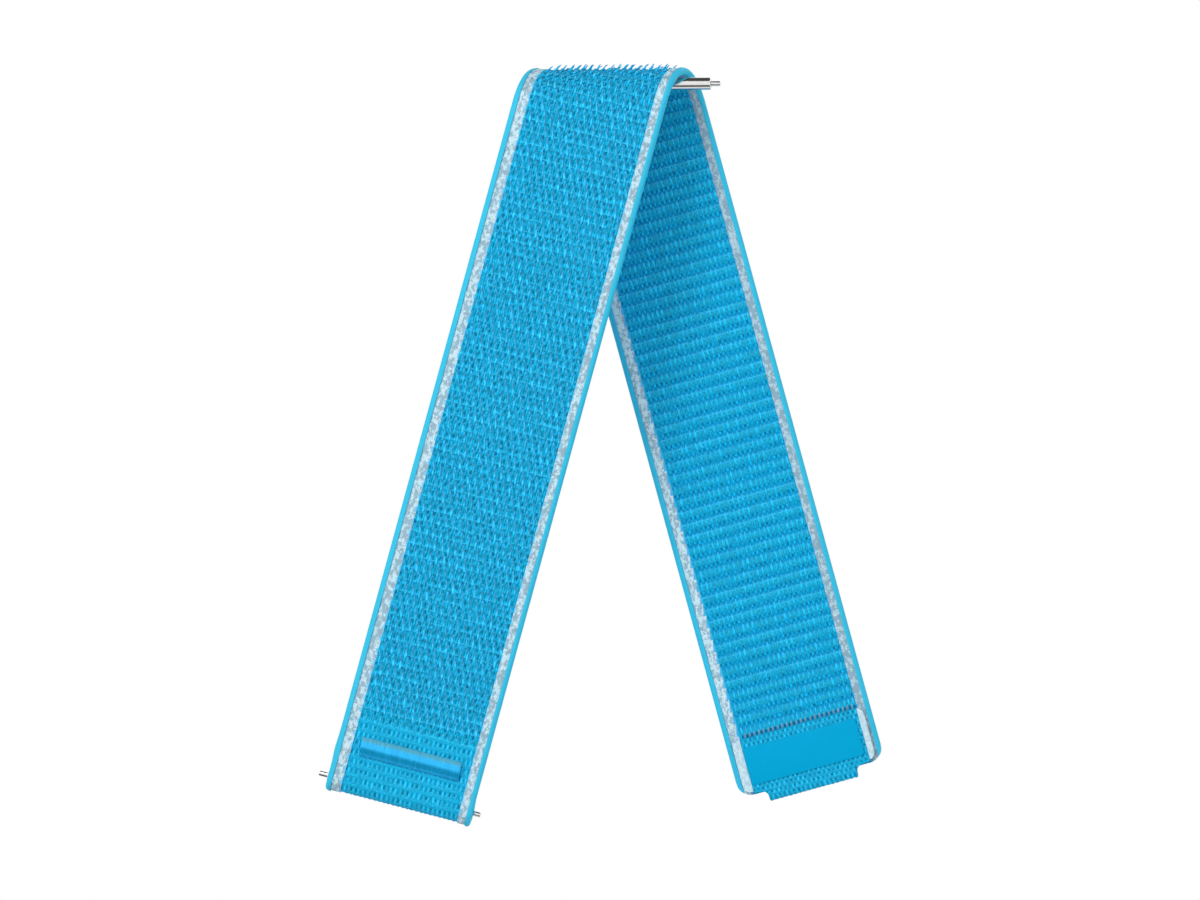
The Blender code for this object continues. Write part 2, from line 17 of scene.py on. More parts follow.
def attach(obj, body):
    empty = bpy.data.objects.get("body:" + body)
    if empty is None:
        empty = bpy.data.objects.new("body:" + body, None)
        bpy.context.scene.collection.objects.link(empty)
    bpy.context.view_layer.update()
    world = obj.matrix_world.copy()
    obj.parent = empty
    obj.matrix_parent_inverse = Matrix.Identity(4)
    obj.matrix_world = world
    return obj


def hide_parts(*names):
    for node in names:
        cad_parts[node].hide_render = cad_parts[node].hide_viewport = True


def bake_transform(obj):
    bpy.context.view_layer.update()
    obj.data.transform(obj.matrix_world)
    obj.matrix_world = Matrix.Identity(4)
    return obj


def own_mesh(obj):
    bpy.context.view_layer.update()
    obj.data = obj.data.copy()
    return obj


bl_info = {
    "name": "Woven watch strap",
    "version": (1, 0, 0),
    "blender": (4, 5, 0),
    "location": "3D View > Sidebar > Strap",
    "description": "Weaves a hook-and-loop watch strap over a spring bar, with both its ends and bars",
    "category": "Object",
}

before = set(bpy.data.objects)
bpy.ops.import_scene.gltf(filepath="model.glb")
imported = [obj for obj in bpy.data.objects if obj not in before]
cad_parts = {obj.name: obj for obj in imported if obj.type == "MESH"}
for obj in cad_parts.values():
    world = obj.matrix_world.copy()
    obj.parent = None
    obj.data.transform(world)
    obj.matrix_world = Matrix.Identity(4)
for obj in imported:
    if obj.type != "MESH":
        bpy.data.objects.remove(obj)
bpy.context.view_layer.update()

FRONT_END, FRONT_FOLD, REAR_FOLD, REAR_END = "front", "fold_front", "fold_rear", "rear"
ZONES = (FRONT_END, FRONT_FOLD, REAR_FOLD, REAR_END)
LEFT, RIGHT = -1, 1
SIDES = ((LEFT, "left"), (RIGHT, "right"))
MATERIAL_PREFIX = "strap_"

# Rows of flat knit to one row of loops or ribs: on the webbing, and on the turned-back end
KNIT_RATIO, FLAP_RATIO = 4 / 3, 2.5
# The level in the weave attribute that tells the free end's side strips from the silver bands
STRIP_LEVEL = 3.0

# Gaps between zones that are woven side by side, and between plies that are sewn or bonded together
WOVEN_GAP, SEWN_GAP, LABEL_GAP = 0.00001, 0.00002, 0.00006
# How far the ribs' crests and the silver bands lie under the selvedges, and where the bare field's looped face
# lies, as a share of the thickness
CREST_DROP, SILVER_DROP, FIELD_SHARE = 0.00004, 0.0001, 0.26 / 1.2
# What lies beyond the ends of the webbing still gets a row number, and stretches are cut from longer grids
SPARE_LENGTH, TRIM_SPARE = 0.03, 0.001

# Quads across the centre field, and the length of quads along the ground, the bends and the turned-back end
FIELD_COLUMNS, GROUND_STEP, BEND_STEP, FLAP_STEP = 26, 0.0003, 0.00022, 0.00016

# Width, length and rise of the yarns that have no size in the settings
STREAK = np.array((0.00020, 0.00100, 0.00016))
RIB_YARN = np.array((0.00039, 0.00126, 0.00026))
KNOT = np.array((0.00036, 0.00058, 0.00024))
KNIT_YARN = np.array((0.00043, 0.00112, 0.00016))
# HOLE_WIDTH and HOLE_RISE size the dark pieces of painted shade in the stitch holes
STITCH_RISE, TACK_RISE, HOLE_WIDTH, HOLE_RISE = 0.00024, 0.00017, 0.00030, 0.00008

# The photograph's size and where the crown of the fold lies in it, in pixels
PHOTO_WIDTH, PHOTO_HEIGHT, CROWN_ACROSS, CROWN_DOWN = 1200, 900, 609, 106.3
# (height from straight below at 0 to straight above at 1, brightness) of the light from all round
SKY = ((0.0, 0.9), (0.03, 0.9), (0.07, 0.10), (0.24, 0.10), (0.30, 1.0), (0.81, 1.0), (0.87, 0.06))
# (name, place, size, share of the key light's power)
LAMPS = (("key_light", (-0.27, -0.52, 0.40), 0.30, 1.0), ("fill_light", (0.55, -0.40, 0.05), 0.45, 0.16),
         ("back_light", (0.20, 0.60, 0.35), 0.40, 0.5))
# What the lamps point at, and the floor's width
LIT_PLACE, FLOOR_WIDTH = (0.0, 0.0, -0.055), 3.0


# Sizes and colours that a user would change


def length(default, description):
    return FloatProperty(description=description, default=default, min=0.0, precision=5, subtype="DISTANCE",
                         unit="LENGTH")


def angle(degrees, description):
    return FloatProperty(description=description, default=math.radians(degrees), subtype="ANGLE")


def tone(red, green, blue, description):
    """A colour property from the 0 to 255 values that a screen shows, by the sRGB curve."""
    shown = [value / 255 for value in (red, green, blue)]
    linear = [v / 12.92 if v <= 0.04045 else ((v + 0.055) / 1.055) ** 2.4 for v in shown]
    return FloatVectorProperty(description=description, default=linear, min=0.0, max=1.0, size=3,
                               subtype="COLOR")


class WebbingSizes(bpy.types.PropertyGroup):
    """The ribbon and how it lies over the bar."""

    width: length(0.0220, "Width of the webbing from selvedge to selvedge")
    thickness: length(0.0012, "Thickness of the webbing at its selvedges")
    left_selvedge: length(0.00084, "Width of the smooth edge on the left")
    right_selvedge: length(0.00065, "Width of the smooth edge on the right")
    left_reflective: length(0.00150, "Width of the silver band on the left")
    right_reflective: length(0.00122, "Width of the silver band on the right")
    front_length: length(0.1138, "From the crown of the fold to the sewn end")
    rear_length: length(0.1089, "From the crown of the fold to the strap's free end")
    fold_radius: length(0.0050, "Radius of the fold at the middle of the webbing")
    fold_skew: angle(14.8, "How far the webbing turns away from square to the bar")
    leg_lean: angle(4.1, "How far each leg hangs out from upright")
    slid_out: length(0.0041, "How far the fold has slid along the loose bar")
    fold_drop: length(0.0032, "How far the fold's centre lies below the loose bar's axis")
    corner: length(0.0023, "Radius of the free end's corners")


class WeaveSizes(bpy.types.PropertyGroup):
    """Yarn pitches and how far the yarns stand out."""

    thread: length(0.0003556, "Distance between neighbouring warp threads")
    front_row: length(0.001773, "Distance between rows on the front leg")
    front_first: length(0.00155, "Where the first row of the front leg lies past the crown")
    rear_row: length(0.001811, "Distance between rows on the rear leg")
    rear_first: length(0.00177, "Where the first row of the rear leg lies past the crown")
    looped_ground: length(0.00034, "Height of the ground under the raised loops")
    ribbed_ground: length(0.00040, "Depth of the ground between the ribs")
    rib: length(0.00011, "How far a rib stands out of its ground")
    float_width: length(0.00040, "Width of one raised loop of yarn")
    float_length: length(0.00122, "Length of one raised loop of yarn")
    float_rise: length(0.00030, "How far a raised loop stands out of its ground")
    hook: length(0.00105, "Length of the upright pile yarns at the crown of the fold")
    hook_width: length(0.00030, "Thickness of one upright pile yarn")
    front_bare: length(0.0113, "Length at the sewn end with no raised loops")
    rear_bare: length(0.0204, "Length at the free end with no raised loops")
    ribs_from_end: length(0.0091, "Where the ribs stop before the free end")
    seed: IntProperty(description="Start of the small irregularities of the yarns", default=7)


class EndSizes(bpy.types.PropertyGroup):
    """The sewn loop, the tack, and what is sewn or bonded to the free end."""

    loop_clearance: length(0.00005, "Play between the sewn bar and its loop")
    loop_closing: angle(27.0, "How far past half a turn the loop closes on the bar")
    loop_bend: length(0.0012, "Radius at which the loop bends back along the strap")
    lap: length(0.0036, "Length of webbing that lies under the tack")
    loop_slip: length(0.00045, "How far the loop's end lies to the left of the leg")
    tack_length: length(0.0150, "Length of the bar-tack across the strap")
    tack_width: length(0.0029, "Width of the bar-tack along the strap")
    tack_height: length(0.00060, "How far the bar-tack stands out")
    tack_from_bar: length(0.0052, "From the sewn bar's axis to the middle of the tack")
    tack_thread: length(0.00016, "Distance between the threads of the tack")
    ply: length(0.0006, "Thickness of the end that is turned back")
    tab_reach: length(0.0015, "How far the folded tab reaches past the strap's end")
    tab_width: length(0.0133, "Width of the folded tab")
    tab_fillet: length(0.00095, "Radius at the root of the tab")
    flap_length: length(0.0081, "Length of the turned-back end")
    flap_width: length(0.0200, "Width of the turned-back end with its side strips")
    flap_foot: length(0.00045, "How far the side strips stop before the strap's end")
    flap_shoulder: length(0.00020, "How far before the strap's end the turned-back end is full width")
    flap_corner: length(0.0011, "Radius of the turned-back end's corners")
    label_width: length(0.0172, "Width of the smooth panel")
    label_height: length(0.0055, "Height of the smooth panel")
    label_thickness: length(0.00016, "Thickness of the smooth panel")
    label_corner: length(0.0005, "Corner radius of the smooth panel")
    label_from_end: length(0.0013, "From the panel to the strap's end")
    stitch: length(0.00086, "Length of one stitch above the turned-back end")
    stitch_width: length(0.00028, "Width of one stitch above the turned-back end")
    stitch_from_end: length(0.0085, "From the row of stitches to the strap's end")
    pad_width: length(0.0165, "Width of the hook pad")
    pad_length: length(0.0180, "Length of the hook pad")
    pad_thickness: length(0.00050, "Height of the hook pad with its hooks")
    pad_corner: length(0.0015, "Corner radius of the hook pad")
    pad_from_end: length(0.0012, "From the hook pad to the strap's end")
    pad_pitch: length(0.00085, "Distance between the hooks of the pad")


class BarSizes(bpy.types.PropertyGroup):
    """The two spring bars."""

    radius: length(0.0009, "Radius of the tube")
    tube: length(0.0218, "Length of the tube")
    bore: length(0.00066, "Radius of the tube's bore")
    end_wall: length(0.0004, "Thickness of the tube's closed-in ends")
    chamfer: length(0.00010, "Chamfer at the tube's rims")
    tip_radius: length(0.00036, "Radius of the tips")
    tip_reach: length(0.0014, "How far each tip stands out of the tube")
    tip_chamfer: length(0.00007, "Chamfer at the tips")
    plunger: length(0.0040, "Length of the plunger behind each tip")
    clearance: length(0.00004, "Play of the tips in the tube")
    shoulder_gap: length(0.00002, "Play between a plunger and the end wall")
    shift: length(0.00036, "How far the sewn bar has slid towards its left end")
    wire: length(0.00010, "Radius of the coil springs' wire")
    wire_gap: length(0.00005, "Play of the coil springs in the tube")
    press: length(0.0012, "How far a tip can be pressed in")
    curls: IntProperty(description="Curls of a coil spring on each side of its middle", default=6)


class Finishes(bpy.types.PropertyGroup):
    """The colours of the yarns and bands."""

    ground: tone(20, 172, 218, "Yarn that binds the weave")
    pit: tone(6, 122, 166, "The shadowed gaps between yarns")
    loop: tone(58, 204, 248, "Bright side of the raised loops")
    loop_tail: tone(78, 184, 236, "Thin, paler end of each raised loop")
    pile_tip: tone(104, 172, 204, "Greyish tips of the upright pile")
    rib: tone(30, 206, 255, "Bright crest of the ribbed side's yarns")
    rib_foot: tone(0, 178, 236, "Deeper foot of the ribbed side's yarns")
    knot: tone(16, 194, 246, "Small knots between the ribs")
    furrow: tone(0, 134, 200, "Deeper blue between the ribs")
    clear_thread: tone(60, 172, 184, "Fine clear thread between the ribbed yarns")
    selvedge: tone(58, 195, 231, "Smooth edge")
    silver: tone(210, 238, 248, "Bright yarn of the silver bands")
    silver_shade: tone(138, 172, 190, "Grey gaps of the silver bands")
    silver_edge: tone(96, 206, 248, "Pale blue where the silver meets the centre field")
    tack: tone(52, 192, 250, "Satin thread of the tack")
    # Painted shade for the tack's lower half and a painted highlight for its upper edge, as on a dome lit from
    # above
    tack_painted_shade: tone(0, 140, 186, "Lower half of the tack")
    tack_rim_highlight: tone(84, 176, 204, "Upper edge of the tack")
    label: tone(0, 163, 211, "Smooth panel, left bare")
    stitch: tone(118, 156, 182, "Thread above the turned-back end")
    hole: tone(0, 116, 168, "Shadowed holes beside the stitches")
    pad: tone(14, 118, 176, "Backing and hooks of the hook pad")
    floor: tone(236, 238, 240, "Pale floor")


class StageSettings(bpy.types.PropertyGroup):
    """Camera, light and floor."""

    azimuth: angle(10.0, "How far the camera stands towards the bar's bare end")
    elevation: angle(-2.0, "How far the camera stands above the strap")
    frame_width: length(0.173808, "Width of the picture at the strap")
    distance: length(0.24, "From the camera to the strap")
    floor_drop: length(0.135, "How far the floor lies below the loose bar")
    dome: FloatProperty(description="Strength of the light from all round", default=1.0, min=0.0)
    key: FloatProperty(description="Power of the key light", default=2.25, min=0.0, unit="POWER")


GROUPS = {"strap_webbing": WebbingSizes, "strap_weave": WeaveSizes, "strap_ends": EndSizes,
          "strap_bars": BarSizes, "strap_finishes": Finishes, "strap_stage": StageSettings}


# Materials

# Sockets that share their name with others, by their number
OBJECT_OUTPUT, MIX_FACTOR, MIX_COLOURS, MIX_COLOUR = 3, 0, (6, 7), 2
# Fibres of a sewing thread, to the metre
FIBRES = 5200.0


class Flow:
    """A socket that takes part in arithmetic: a sum of flows adds its Math nodes."""

    def __init__(self, finish, socket):
        self.finish, self.socket = finish, socket

    def maths(self, operation, *values):
        return self.finish.node("ShaderNodeMath", {"operation": operation}, *values)

    def __add__(self, other):
        return self.maths("ADD", self, other)

    def __sub__(self, other):
        return self.maths("SUBTRACT", self, other)

    def __rsub__(self, other):
        return self.maths("SUBTRACT", other, self)

    def __mul__(self, other):
        return self.maths("MULTIPLY", self, other)

    def __truediv__(self, other):
        return self.maths("DIVIDE", self, other)

    def __neg__(self):
        return self.maths("MULTIPLY", self, -1.0)

    __radd__, __rmul__ = __add__, __mul__

    def floor(self):
        return self.maths("FLOOR", self)

    def size(self):
        return self.maths("ABSOLUTE", self)

    def most(self, other):
        return self.maths("MAXIMUM", self, other)

    def wave(self):
        return self.maths("SINE", self)

    def within(self, low, high):
        """Rises smoothly from 0 at low to 1 at high, or falls where low is the larger."""
        return self.finish.node("ShaderNodeMapRange", {"interpolation_type": "SMOOTHSTEP"},
                                self, low, high, 0.0, 1.0)

    def around(self, period):
        """The distance to the nearest multiple of a period, with its sign."""
        turns = self / period
        return (turns - (turns + 0.5).floor()) * period


class Finish:
    """A procedural material: its nodes are made through node(), which takes settings first and values after.

    Its fixed roughness is for readers of the file that can't follow the varying one that wear() sets.
    """

    def __init__(self, name, roughness=0.6, metallic=0.0, coat=0.0, specular=0.06):
        self.material = bpy.data.materials.new(MATERIAL_PREFIX + name)
        self.material.use_nodes = True
        self.tree = self.material.node_tree
        self.shader = self.tree.nodes["Principled BSDF"]
        fixed = {"Roughness": roughness, "Metallic": metallic, "Coat Weight": coat, "Coat Roughness": 0.25,
                 "Specular IOR Level": specular}
        for socket, value in fixed.items():
            self.shader.inputs[socket].default_value = value

    def node(self, kind, settings=None, *values, output=0, inputs=None):
        made = self.tree.nodes.new(kind)
        for setting, value in (settings or {}).items():
            setattr(made, setting, value)
        for socket, value in zip(inputs or range(len(values)), values):
            self.feed(made.inputs[socket], value)
        return Flow(self, made.outputs[output])

    def feed(self, socket, value):
        if isinstance(value, Flow):
            self.tree.links.new(value.socket, socket)
        elif isinstance(value, (int, float)):
            socket.default_value = value
        else:
            socket.default_value = (*value, 1.0) if len(value) == 3 and socket.type == "RGBA" else value

    def attribute(self, name):
        """The three numbers of a point attribute."""
        vector = self.node("ShaderNodeAttribute", {"attribute_name": name}, output=1)
        parts = self.tree.nodes.new("ShaderNodeSeparateXYZ")
        self.feed(parts.inputs[0], vector)
        return [Flow(self, parts.outputs[k]) for k in range(3)]

    def place(self, x, y, z=0.0):
        return self.node("ShaderNodeCombineXYZ", None, x, y, z)

    def noise(self, place, scale, detail):
        return self.node("ShaderNodeTexNoise", None, place, scale, detail,
                         inputs=("Vector", "Scale", "Detail"))

    def object_noise(self, scale, detail=2.0):
        """Noise through the object, at a scale to the metre."""
        return self.noise(self.node("ShaderNodeTexCoord", output=OBJECT_OUTPUT), scale, detail)

    def weave_noise(self, across, along, through=0.0, detail=2.0):
        """Noise over places that come from an attribute."""
        return self.noise(self.place(across, along, through), 1.0, detail)

    def random(self, one, other):
        """A random number from 0 to 1 for each pair of whole numbers."""
        return self.node("ShaderNodeTexWhiteNoise", {"noise_dimensions": "3D"}, self.place(one, other))

    def grain(self, thread, row, strength=1.3):
        """The unevenness of single fibres, as a factor about 1."""
        fine = self.weave_noise(thread * 1.5, row * 5.0, detail=3.0)
        return (fine - 0.5) * strength + 1.0

    def mix(self, factor, one, other):
        return self.node("ShaderNodeMix", {"data_type": "RGBA", "clamp_factor": True}, factor, one, other,
                         output=MIX_COLOUR, inputs=(MIX_FACTOR, *MIX_COLOURS))

    def layers(self, base, *layers):
        """A colour with other colours laid over it, each by its factor."""
        for factor, colour in layers:
            base = self.mix(factor, base, colour)
        return base

    def shade(self, colour, factor):
        """A colour made darker or lighter by a varying factor."""
        grey = self.place(factor, factor, factor)
        return self.node("ShaderNodeVectorMath", {"operation": "MULTIPLY"}, colour, grey)

    def wear(self, colour, roughness, height=None, depth=None):
        """Sets what varies over the surface; the depth of its relief is in metres."""
        self.feed(self.shader.inputs["Base Color"], colour)
        self.feed(self.shader.inputs["Roughness"], roughness)
        if height is not None:
            bump = self.node("ShaderNodeBump", None, depth, height, inputs=("Distance", "Height"))
            self.feed(self.shader.inputs["Normal"], bump)
        return self.material


def blotch(across, along, middle, wide, tall):
    """A soft oval spot, 1 in its middle, which lies that far along, and 0 at its rim."""
    one, other = across / wide, (along - middle) / tall
    return (one * one + other * other).within(1.0, 0.0)


def weave_cell(thread, row, jitter, sway, start, bend):
    """The weave's repeat, unevenly drawn: its drift, its row's number, and the place along and across it."""
    drift = (jitter - 0.5) * sway
    count = (row + start).floor()
    return drift, count, row - count + drift * bend, thread + count + drift


def loop_light(made, thread, row):
    """How light the looped side is: most on the weft line of each row, and unevenly from thread to thread."""
    swing = (row * math.tau + math.tau / 4).wave()
    line = row.around(1.0).size().within(0.10, 0.02)
    uneven = made.weave_noise(thread * 1.15 + 7.0, row * 2.6, detail=1.0)
    return (swing * 0.045 - swing * swing * 0.09 + 1.04 + line * 0.05) * (uneven * 1.3 + 0.35)


def looped_ground(look):
    """The ground of the looped side: bound warp threads, one light weft line to a row, and painted shade in
    the pits and between the threads.

    The pits and streaks repeat every three threads and move by one thread from row to row.
    """
    made = Finish("looped_ground", roughness=0.72)
    thread, row = made.attribute("weave")[:2]
    jitter = made.weave_noise(thread * 0.7, row * 1.3)
    drift, count, along, across = weave_cell(thread, row, jitter, sway=0.8, start=0.62, bend=0.35)
    lively = made.random((across / 3.0 + 0.5).floor(), count) * 0.75 + 0.45
    pits = blotch((across - 1.29).around(3.0), along, middle=-0.31, wide=0.60, tall=0.25)
    pits = pits.most(blotch((across + 0.82).around(3.0), along, middle=0.25, wide=0.56, tall=0.21)) * lively
    streak = blotch((across + 0.45 + along * 1.2).around(3.0), along, middle=-0.42, wide=0.5, tall=0.5)
    bright_row = made.random(count, 3.0) + made.weave_noise(thread * 0.08, row * 0.9) * 1.2
    weft = along.size().within(0.085, 0.02) * bright_row.within(0.55, 1.4)
    furrow = thread.around(1.0).size().within(0.28, 0.5)
    twist = (thread * 6.0 + row * 60.0).wave() * 0.5 + 0.5
    # The pit colour is painted shade: in the pits and along the furrows between threads
    colour = made.layers(look.ground, (jitter.within(0.35, 0.7) * 0.4, look.rib), (furrow * 0.25, look.pit),
                         (streak * 0.5, look.loop_tail), (weft * 0.9, look.loop), (pits * 0.85, look.pit))
    colour = made.shade(colour, made.grain(thread, row) * loop_light(made, thread, row))
    height = streak * 0.4 + weft * 0.5 - furrow * 0.6 - pits * 0.9 + twist * 0.12
    return made.wear(colour, 0.62 + jitter * 0.2, height, depth=0.00012)


def ribbed_ground(look):
    """The ground of the ribbed side: clear threads between yarns, painted shade in the pits below them, in the
    gaps and along the seams between threads, and furrows between ribs.

    The rows are counted the other way round here, because the yarns hang down from their ribs.
    """
    made = Finish("ribbed_ground", roughness=0.7)
    thread, row = made.attribute("weave")[:2]
    flow = -row
    jitter = made.weave_noise(thread * 0.9, row * 1.7)
    drift, count, along, across = weave_cell(thread, flow, jitter, sway=0.7, start=0.28, bend=0.3)
    lively = made.random((across / 2.0).floor(), count) * 0.75 + 0.45
    between = (across - 1.0).around(2.0)
    clear = blotch(between, along, middle=0.19, wide=0.42, tall=0.28) * lively
    pits = blotch(between, along, middle=0.54, wide=0.58, tall=0.17) * lively
    gap = blotch(between, along, middle=-0.02, wide=0.50, tall=0.34)
    furrow = (flow - 0.745 + drift * 0.2).around(1.0).size().within(0.16, 0.05)
    seam = thread.around(1.0).size().within(0.25, 0.5)
    bright_row = made.random(count, 5.0) + made.weave_noise(thread * 0.07, row * 0.8) * 1.1
    weft = (along + 0.05).size().within(0.110, 0.030) * bright_row.within(0.45, 1.45)
    # The seam, gap and pit masks lay painted shade in the pit colour
    colour = made.layers(look.ground, (jitter.within(0.35, 0.7) * 0.4, look.rib_foot),
                         (seam * 0.25, look.pit), (furrow * 0.4, look.furrow), (gap * 0.30, look.pit),
                         (clear * 0.65, look.clear_thread), (pits, look.pit), (weft * 0.66, look.loop))
    colour = made.shade(colour, made.grain(thread, row))
    height = clear * 0.35 + weft * 0.4 - pits * 0.9 - furrow * 0.5 - seam * 0.4
    return made.wear(colour, 0.58 + jitter * 0.2, height, depth=0.00010)


def knit_ground(look):
    """The flat knit of the sewn loop and of the turned-back end, with painted shade in its pits."""
    made = Finish("knit_ground", roughness=0.72)
    thread, row = made.attribute("weave")[:2]
    row = row * KNIT_RATIO
    jitter = made.weave_noise(thread * 0.9, row * 2.1)
    drift, count, along, across = weave_cell(thread, row, jitter, sway=0.3, start=0.5, bend=0.3)
    between = (across - 1.0).around(2.0)
    lively = made.random((across / 2.0).floor(), count)
    pits = blotch(between, along, middle=-0.02, wide=0.60, tall=0.38) * (lively * 0.6 + 0.5)
    rung = blotch(between, along, middle=lively * 0.5 - 0.2, wide=0.7, tall=0.09) * lively.within(0.25, 0.6)
    weft = (along.size() - 0.5).size().within(0.10, 0.03) * (0.25 + lively * 0.75)
    # Painted shade in the pits between stitches
    colour = made.layers(look.ground, (weft * 0.45, look.loop), (pits * 0.95, look.pit),
                         (rung * 0.6, look.loop))
    colour = made.shade(colour, made.grain(thread, row))
    return made.wear(colour, 0.6 + jitter * 0.2, weft * 0.5 - pits, depth=0.00010)


def yarn(name, tail, body, foot, roughness=0.5, light=None):
    """A raised yarn: a paler tail, a bright body, a deeper foot and fine twisted fibres along it."""
    made = Finish(name, roughness=roughness, specular=0.10)
    chance, along = made.attribute("yarn")[:2]
    thread, row = made.attribute("weave")[:2]
    colour = made.layers(tail, (along.within(0.0, 0.55), body), (along.within(0.62, 1.0), foot))
    fibres = made.weave_noise(thread * 9.0 + row * 6.0, row * 5.0, detail=3.0)
    shade = (0.62 + chance * 0.34 + fibres * 0.28) * made.grain(thread, row, 0.7)
    colour = made.shade(colour, shade * light(made, thread, row) if light else shade)
    twist = (thread * 20.0 + row * 42.0).wave()
    return made.wear(colour, roughness - 0.08 + fibres * 0.2, twist * 0.3 + fibres, depth=0.00003)


def selvedge_finish(look):
    """The smooth edge: a twisted cord, a little lighter and darker in slow turns."""
    made = Finish("selvedge", roughness=0.46)
    thread, row, level = made.attribute("weave")
    slow = made.weave_noise(thread * 0.6, row * 0.35, level * 0.4)
    fine = made.weave_noise(thread * 6.0, row * 9.0, level * 6.0, detail=3.0)
    turns = (row * 6.0 * math.tau + level * 9.0).wave() * 0.5 + 0.5
    colour = made.shade(look.selvedge, 0.84 + slow * 0.14 + turns * 0.04 + fine * 0.05)
    return made.wear(colour, 0.40 + fine * 0.16, turns * 0.5 + fine * 0.3, depth=0.00003)


def silver_finish(look):
    """Glass-bead yarn: bright knots with grey gaps, and on the ribbed side duller, with one step to a row;
    there the left band gets painted light and the right band painted shade, as light falls from the left.
    """
    made = Finish("reflective_yarn", roughness=0.42, specular=0.4)
    thread, row, level = made.attribute("weave")
    across = made.attribute("band")[0]
    speck = made.weave_noise(thread * 2.2, row * 10.0, level * 2.0, detail=3.0)
    knots = made.weave_noise(thread * 0.8 + 31.0, row * 2.7, level)
    bead = (row * math.tau).wave() * 0.5 + 0.5
    ribbed, right = level.within(0.1, -0.1), thread.within(-1.0, 1.0)
    grey = knots.within(0.42, 0.58) * 0.76 + speck.within(0.42, 0.66) * 0.56
    # On the ribbed side: painted light on the left band and painted shade on the right band, for light from
    # the left
    grey = grey + ribbed * (right * 0.42 - 0.28 + bead * 0.22) + bead.within(0.35, 0.0) * 0.20
    grey = grey * (1.0 - level.within(0.8 * STRIP_LEVEL, STRIP_LEVEL) * 0.6)
    step = (row + 0.35) - (row + 0.35).floor()
    step = step * right + (1.0 - step) * (1.0 - right)
    looped_teeth = bead.within(0.35, 0.75) * 0.16 + speck * 0.16 - 0.05
    ribbed_teeth = step * 0.25 + speck * 0.12 - right * 0.13 - 0.02
    teeth = looped_teeth * (1.0 - ribbed) + ribbed_teeth * ribbed
    edge, edging = made.mix(ribbed, look.silver_edge, look.rib_foot), (across - teeth).within(0.05, -0.05)
    colour = made.layers(look.silver, (grey, look.silver_shade), (edging * 0.85, edge))
    colour = made.shade(colour, 0.86 + speck * 0.22)
    return made.wear(colour, 0.34 + speck * 0.3, knots * -0.6 + speck * 0.8, depth=0.00008)


def tack_finish(look):
    """Satin threads: bright over the upper half, with painted shade over the lower half towards the bar, a
    painted highlight at the upper edge and a little painted light at the lowest edge, as on a dome lit from
    above.
    """
    made = Finish("tack_thread", roughness=0.36, coat=0.02, specular=0.10)
    chance, along = made.attribute("yarn")[:2]
    fibres = made.object_noise(FIBRES)
    # Painted light by the place across the tack: shade below, bright upper middle, some light at the lowest
    # edge, highlight at the upper edge
    colour = made.layers(look.tack_painted_shade, (along.within(0.32, 0.54), look.tack),
                         (along.within(0.20, 0.08) * 0.45, look.tack),
                         (along.within(0.66, 0.84), look.tack_rim_highlight))
    colour = made.shade(colour, 0.90 + chance * 0.12 + fibres * 0.10)
    return made.wear(colour, 0.32 + fibres * 0.16, fibres, depth=0.00002)


def stitch_finish(look):
    """Sewing thread, a little glossier than the yarns round it."""
    made = Finish("stitch_thread", roughness=0.5, coat=0.12, specular=0.3)
    chance = made.attribute("yarn")[0]
    fibres = made.object_noise(FIBRES)
    colour = made.shade(look.stitch, 0.84 + chance * 0.22 + fibres * 0.12)
    return made.wear(colour, 0.45 + fibres * 0.16, fibres, depth=0.00002)


def film_finish(look):
    """The bare panel: an even film with a faint grain and slightly duller patches."""
    made = Finish("label_film", roughness=0.46, specular=0.04)
    grain, cloud = made.object_noise(6400.0), made.object_noise(260.0)
    dull = made.object_noise(1300.0, detail=5.0).within(0.62, 0.78)
    colour = made.shade(look.label, 0.96 + cloud * 0.05 + grain * 0.03 - dull * 0.02)
    return made.wear(colour, 0.40 + grain * 0.12 + dull * 0.12, grain, depth=0.00001)


def pad_finish(look):
    """Moulded plastic of the hook pad, with a fine grain."""
    made = Finish("hook_tape", roughness=0.5, specular=0.3)
    grain = made.object_noise(3000.0, detail=3.0)
    colour = made.shade(look.pad, 0.82 + grain * 0.34)
    return made.wear(colour, 0.42 + grain * 0.2, grain, depth=0.00003)


def steel_finish(look):
    """Turned and polished steel: rings round the axis, faint scuffs and dulled patches."""
    made = Finish("polished_steel", roughness=0.13, metallic=1.0, specular=0.5)
    along, around, radius = made.attribute("lathe")
    rings = made.weave_noise(along * 90.0, 0.0, radius * 40.0, detail=3.0)
    scuffs = made.weave_noise(along * 3.0, around * 2.2, radius, detail=5.0)
    colour = made.shade((0.80, 0.80, 0.788), 0.93 + scuffs * 0.1)
    worn = scuffs.within(0.55, 0.75)
    return made.wear(colour, 0.13 + rings * 0.07 + worn * 0.08, rings, depth=0.000002)


def spring_finish(look):
    """Drawn wire: fine scratches and dulled patches."""
    made = Finish("spring_steel", roughness=0.28, metallic=1.0, specular=0.5)
    along, around, radius = made.attribute("lathe")
    drawn = made.weave_noise(along * 9.0, around * 3.0, radius * 9.0, detail=3.0)
    dulled = made.weave_noise(along * 0.9, around, radius, detail=4.0).within(0.45, 0.7)
    colour = made.shade((0.55, 0.55, 0.54), 0.92 + drawn * 0.12 - dulled * 0.05)
    return made.wear(colour, 0.24 + drawn * 0.08 + dulled * 0.1, drawn, depth=0.000003)


def floor_finish(look):
    """A matt, pale floor with faint clouds."""
    made = Finish("studio_floor", roughness=0.8, specular=0.2)
    cloud = made.object_noise(6.0)
    return made.wear(made.shade(look.floor, 0.985 + cloud * 0.03), 0.78 + cloud * 0.06)


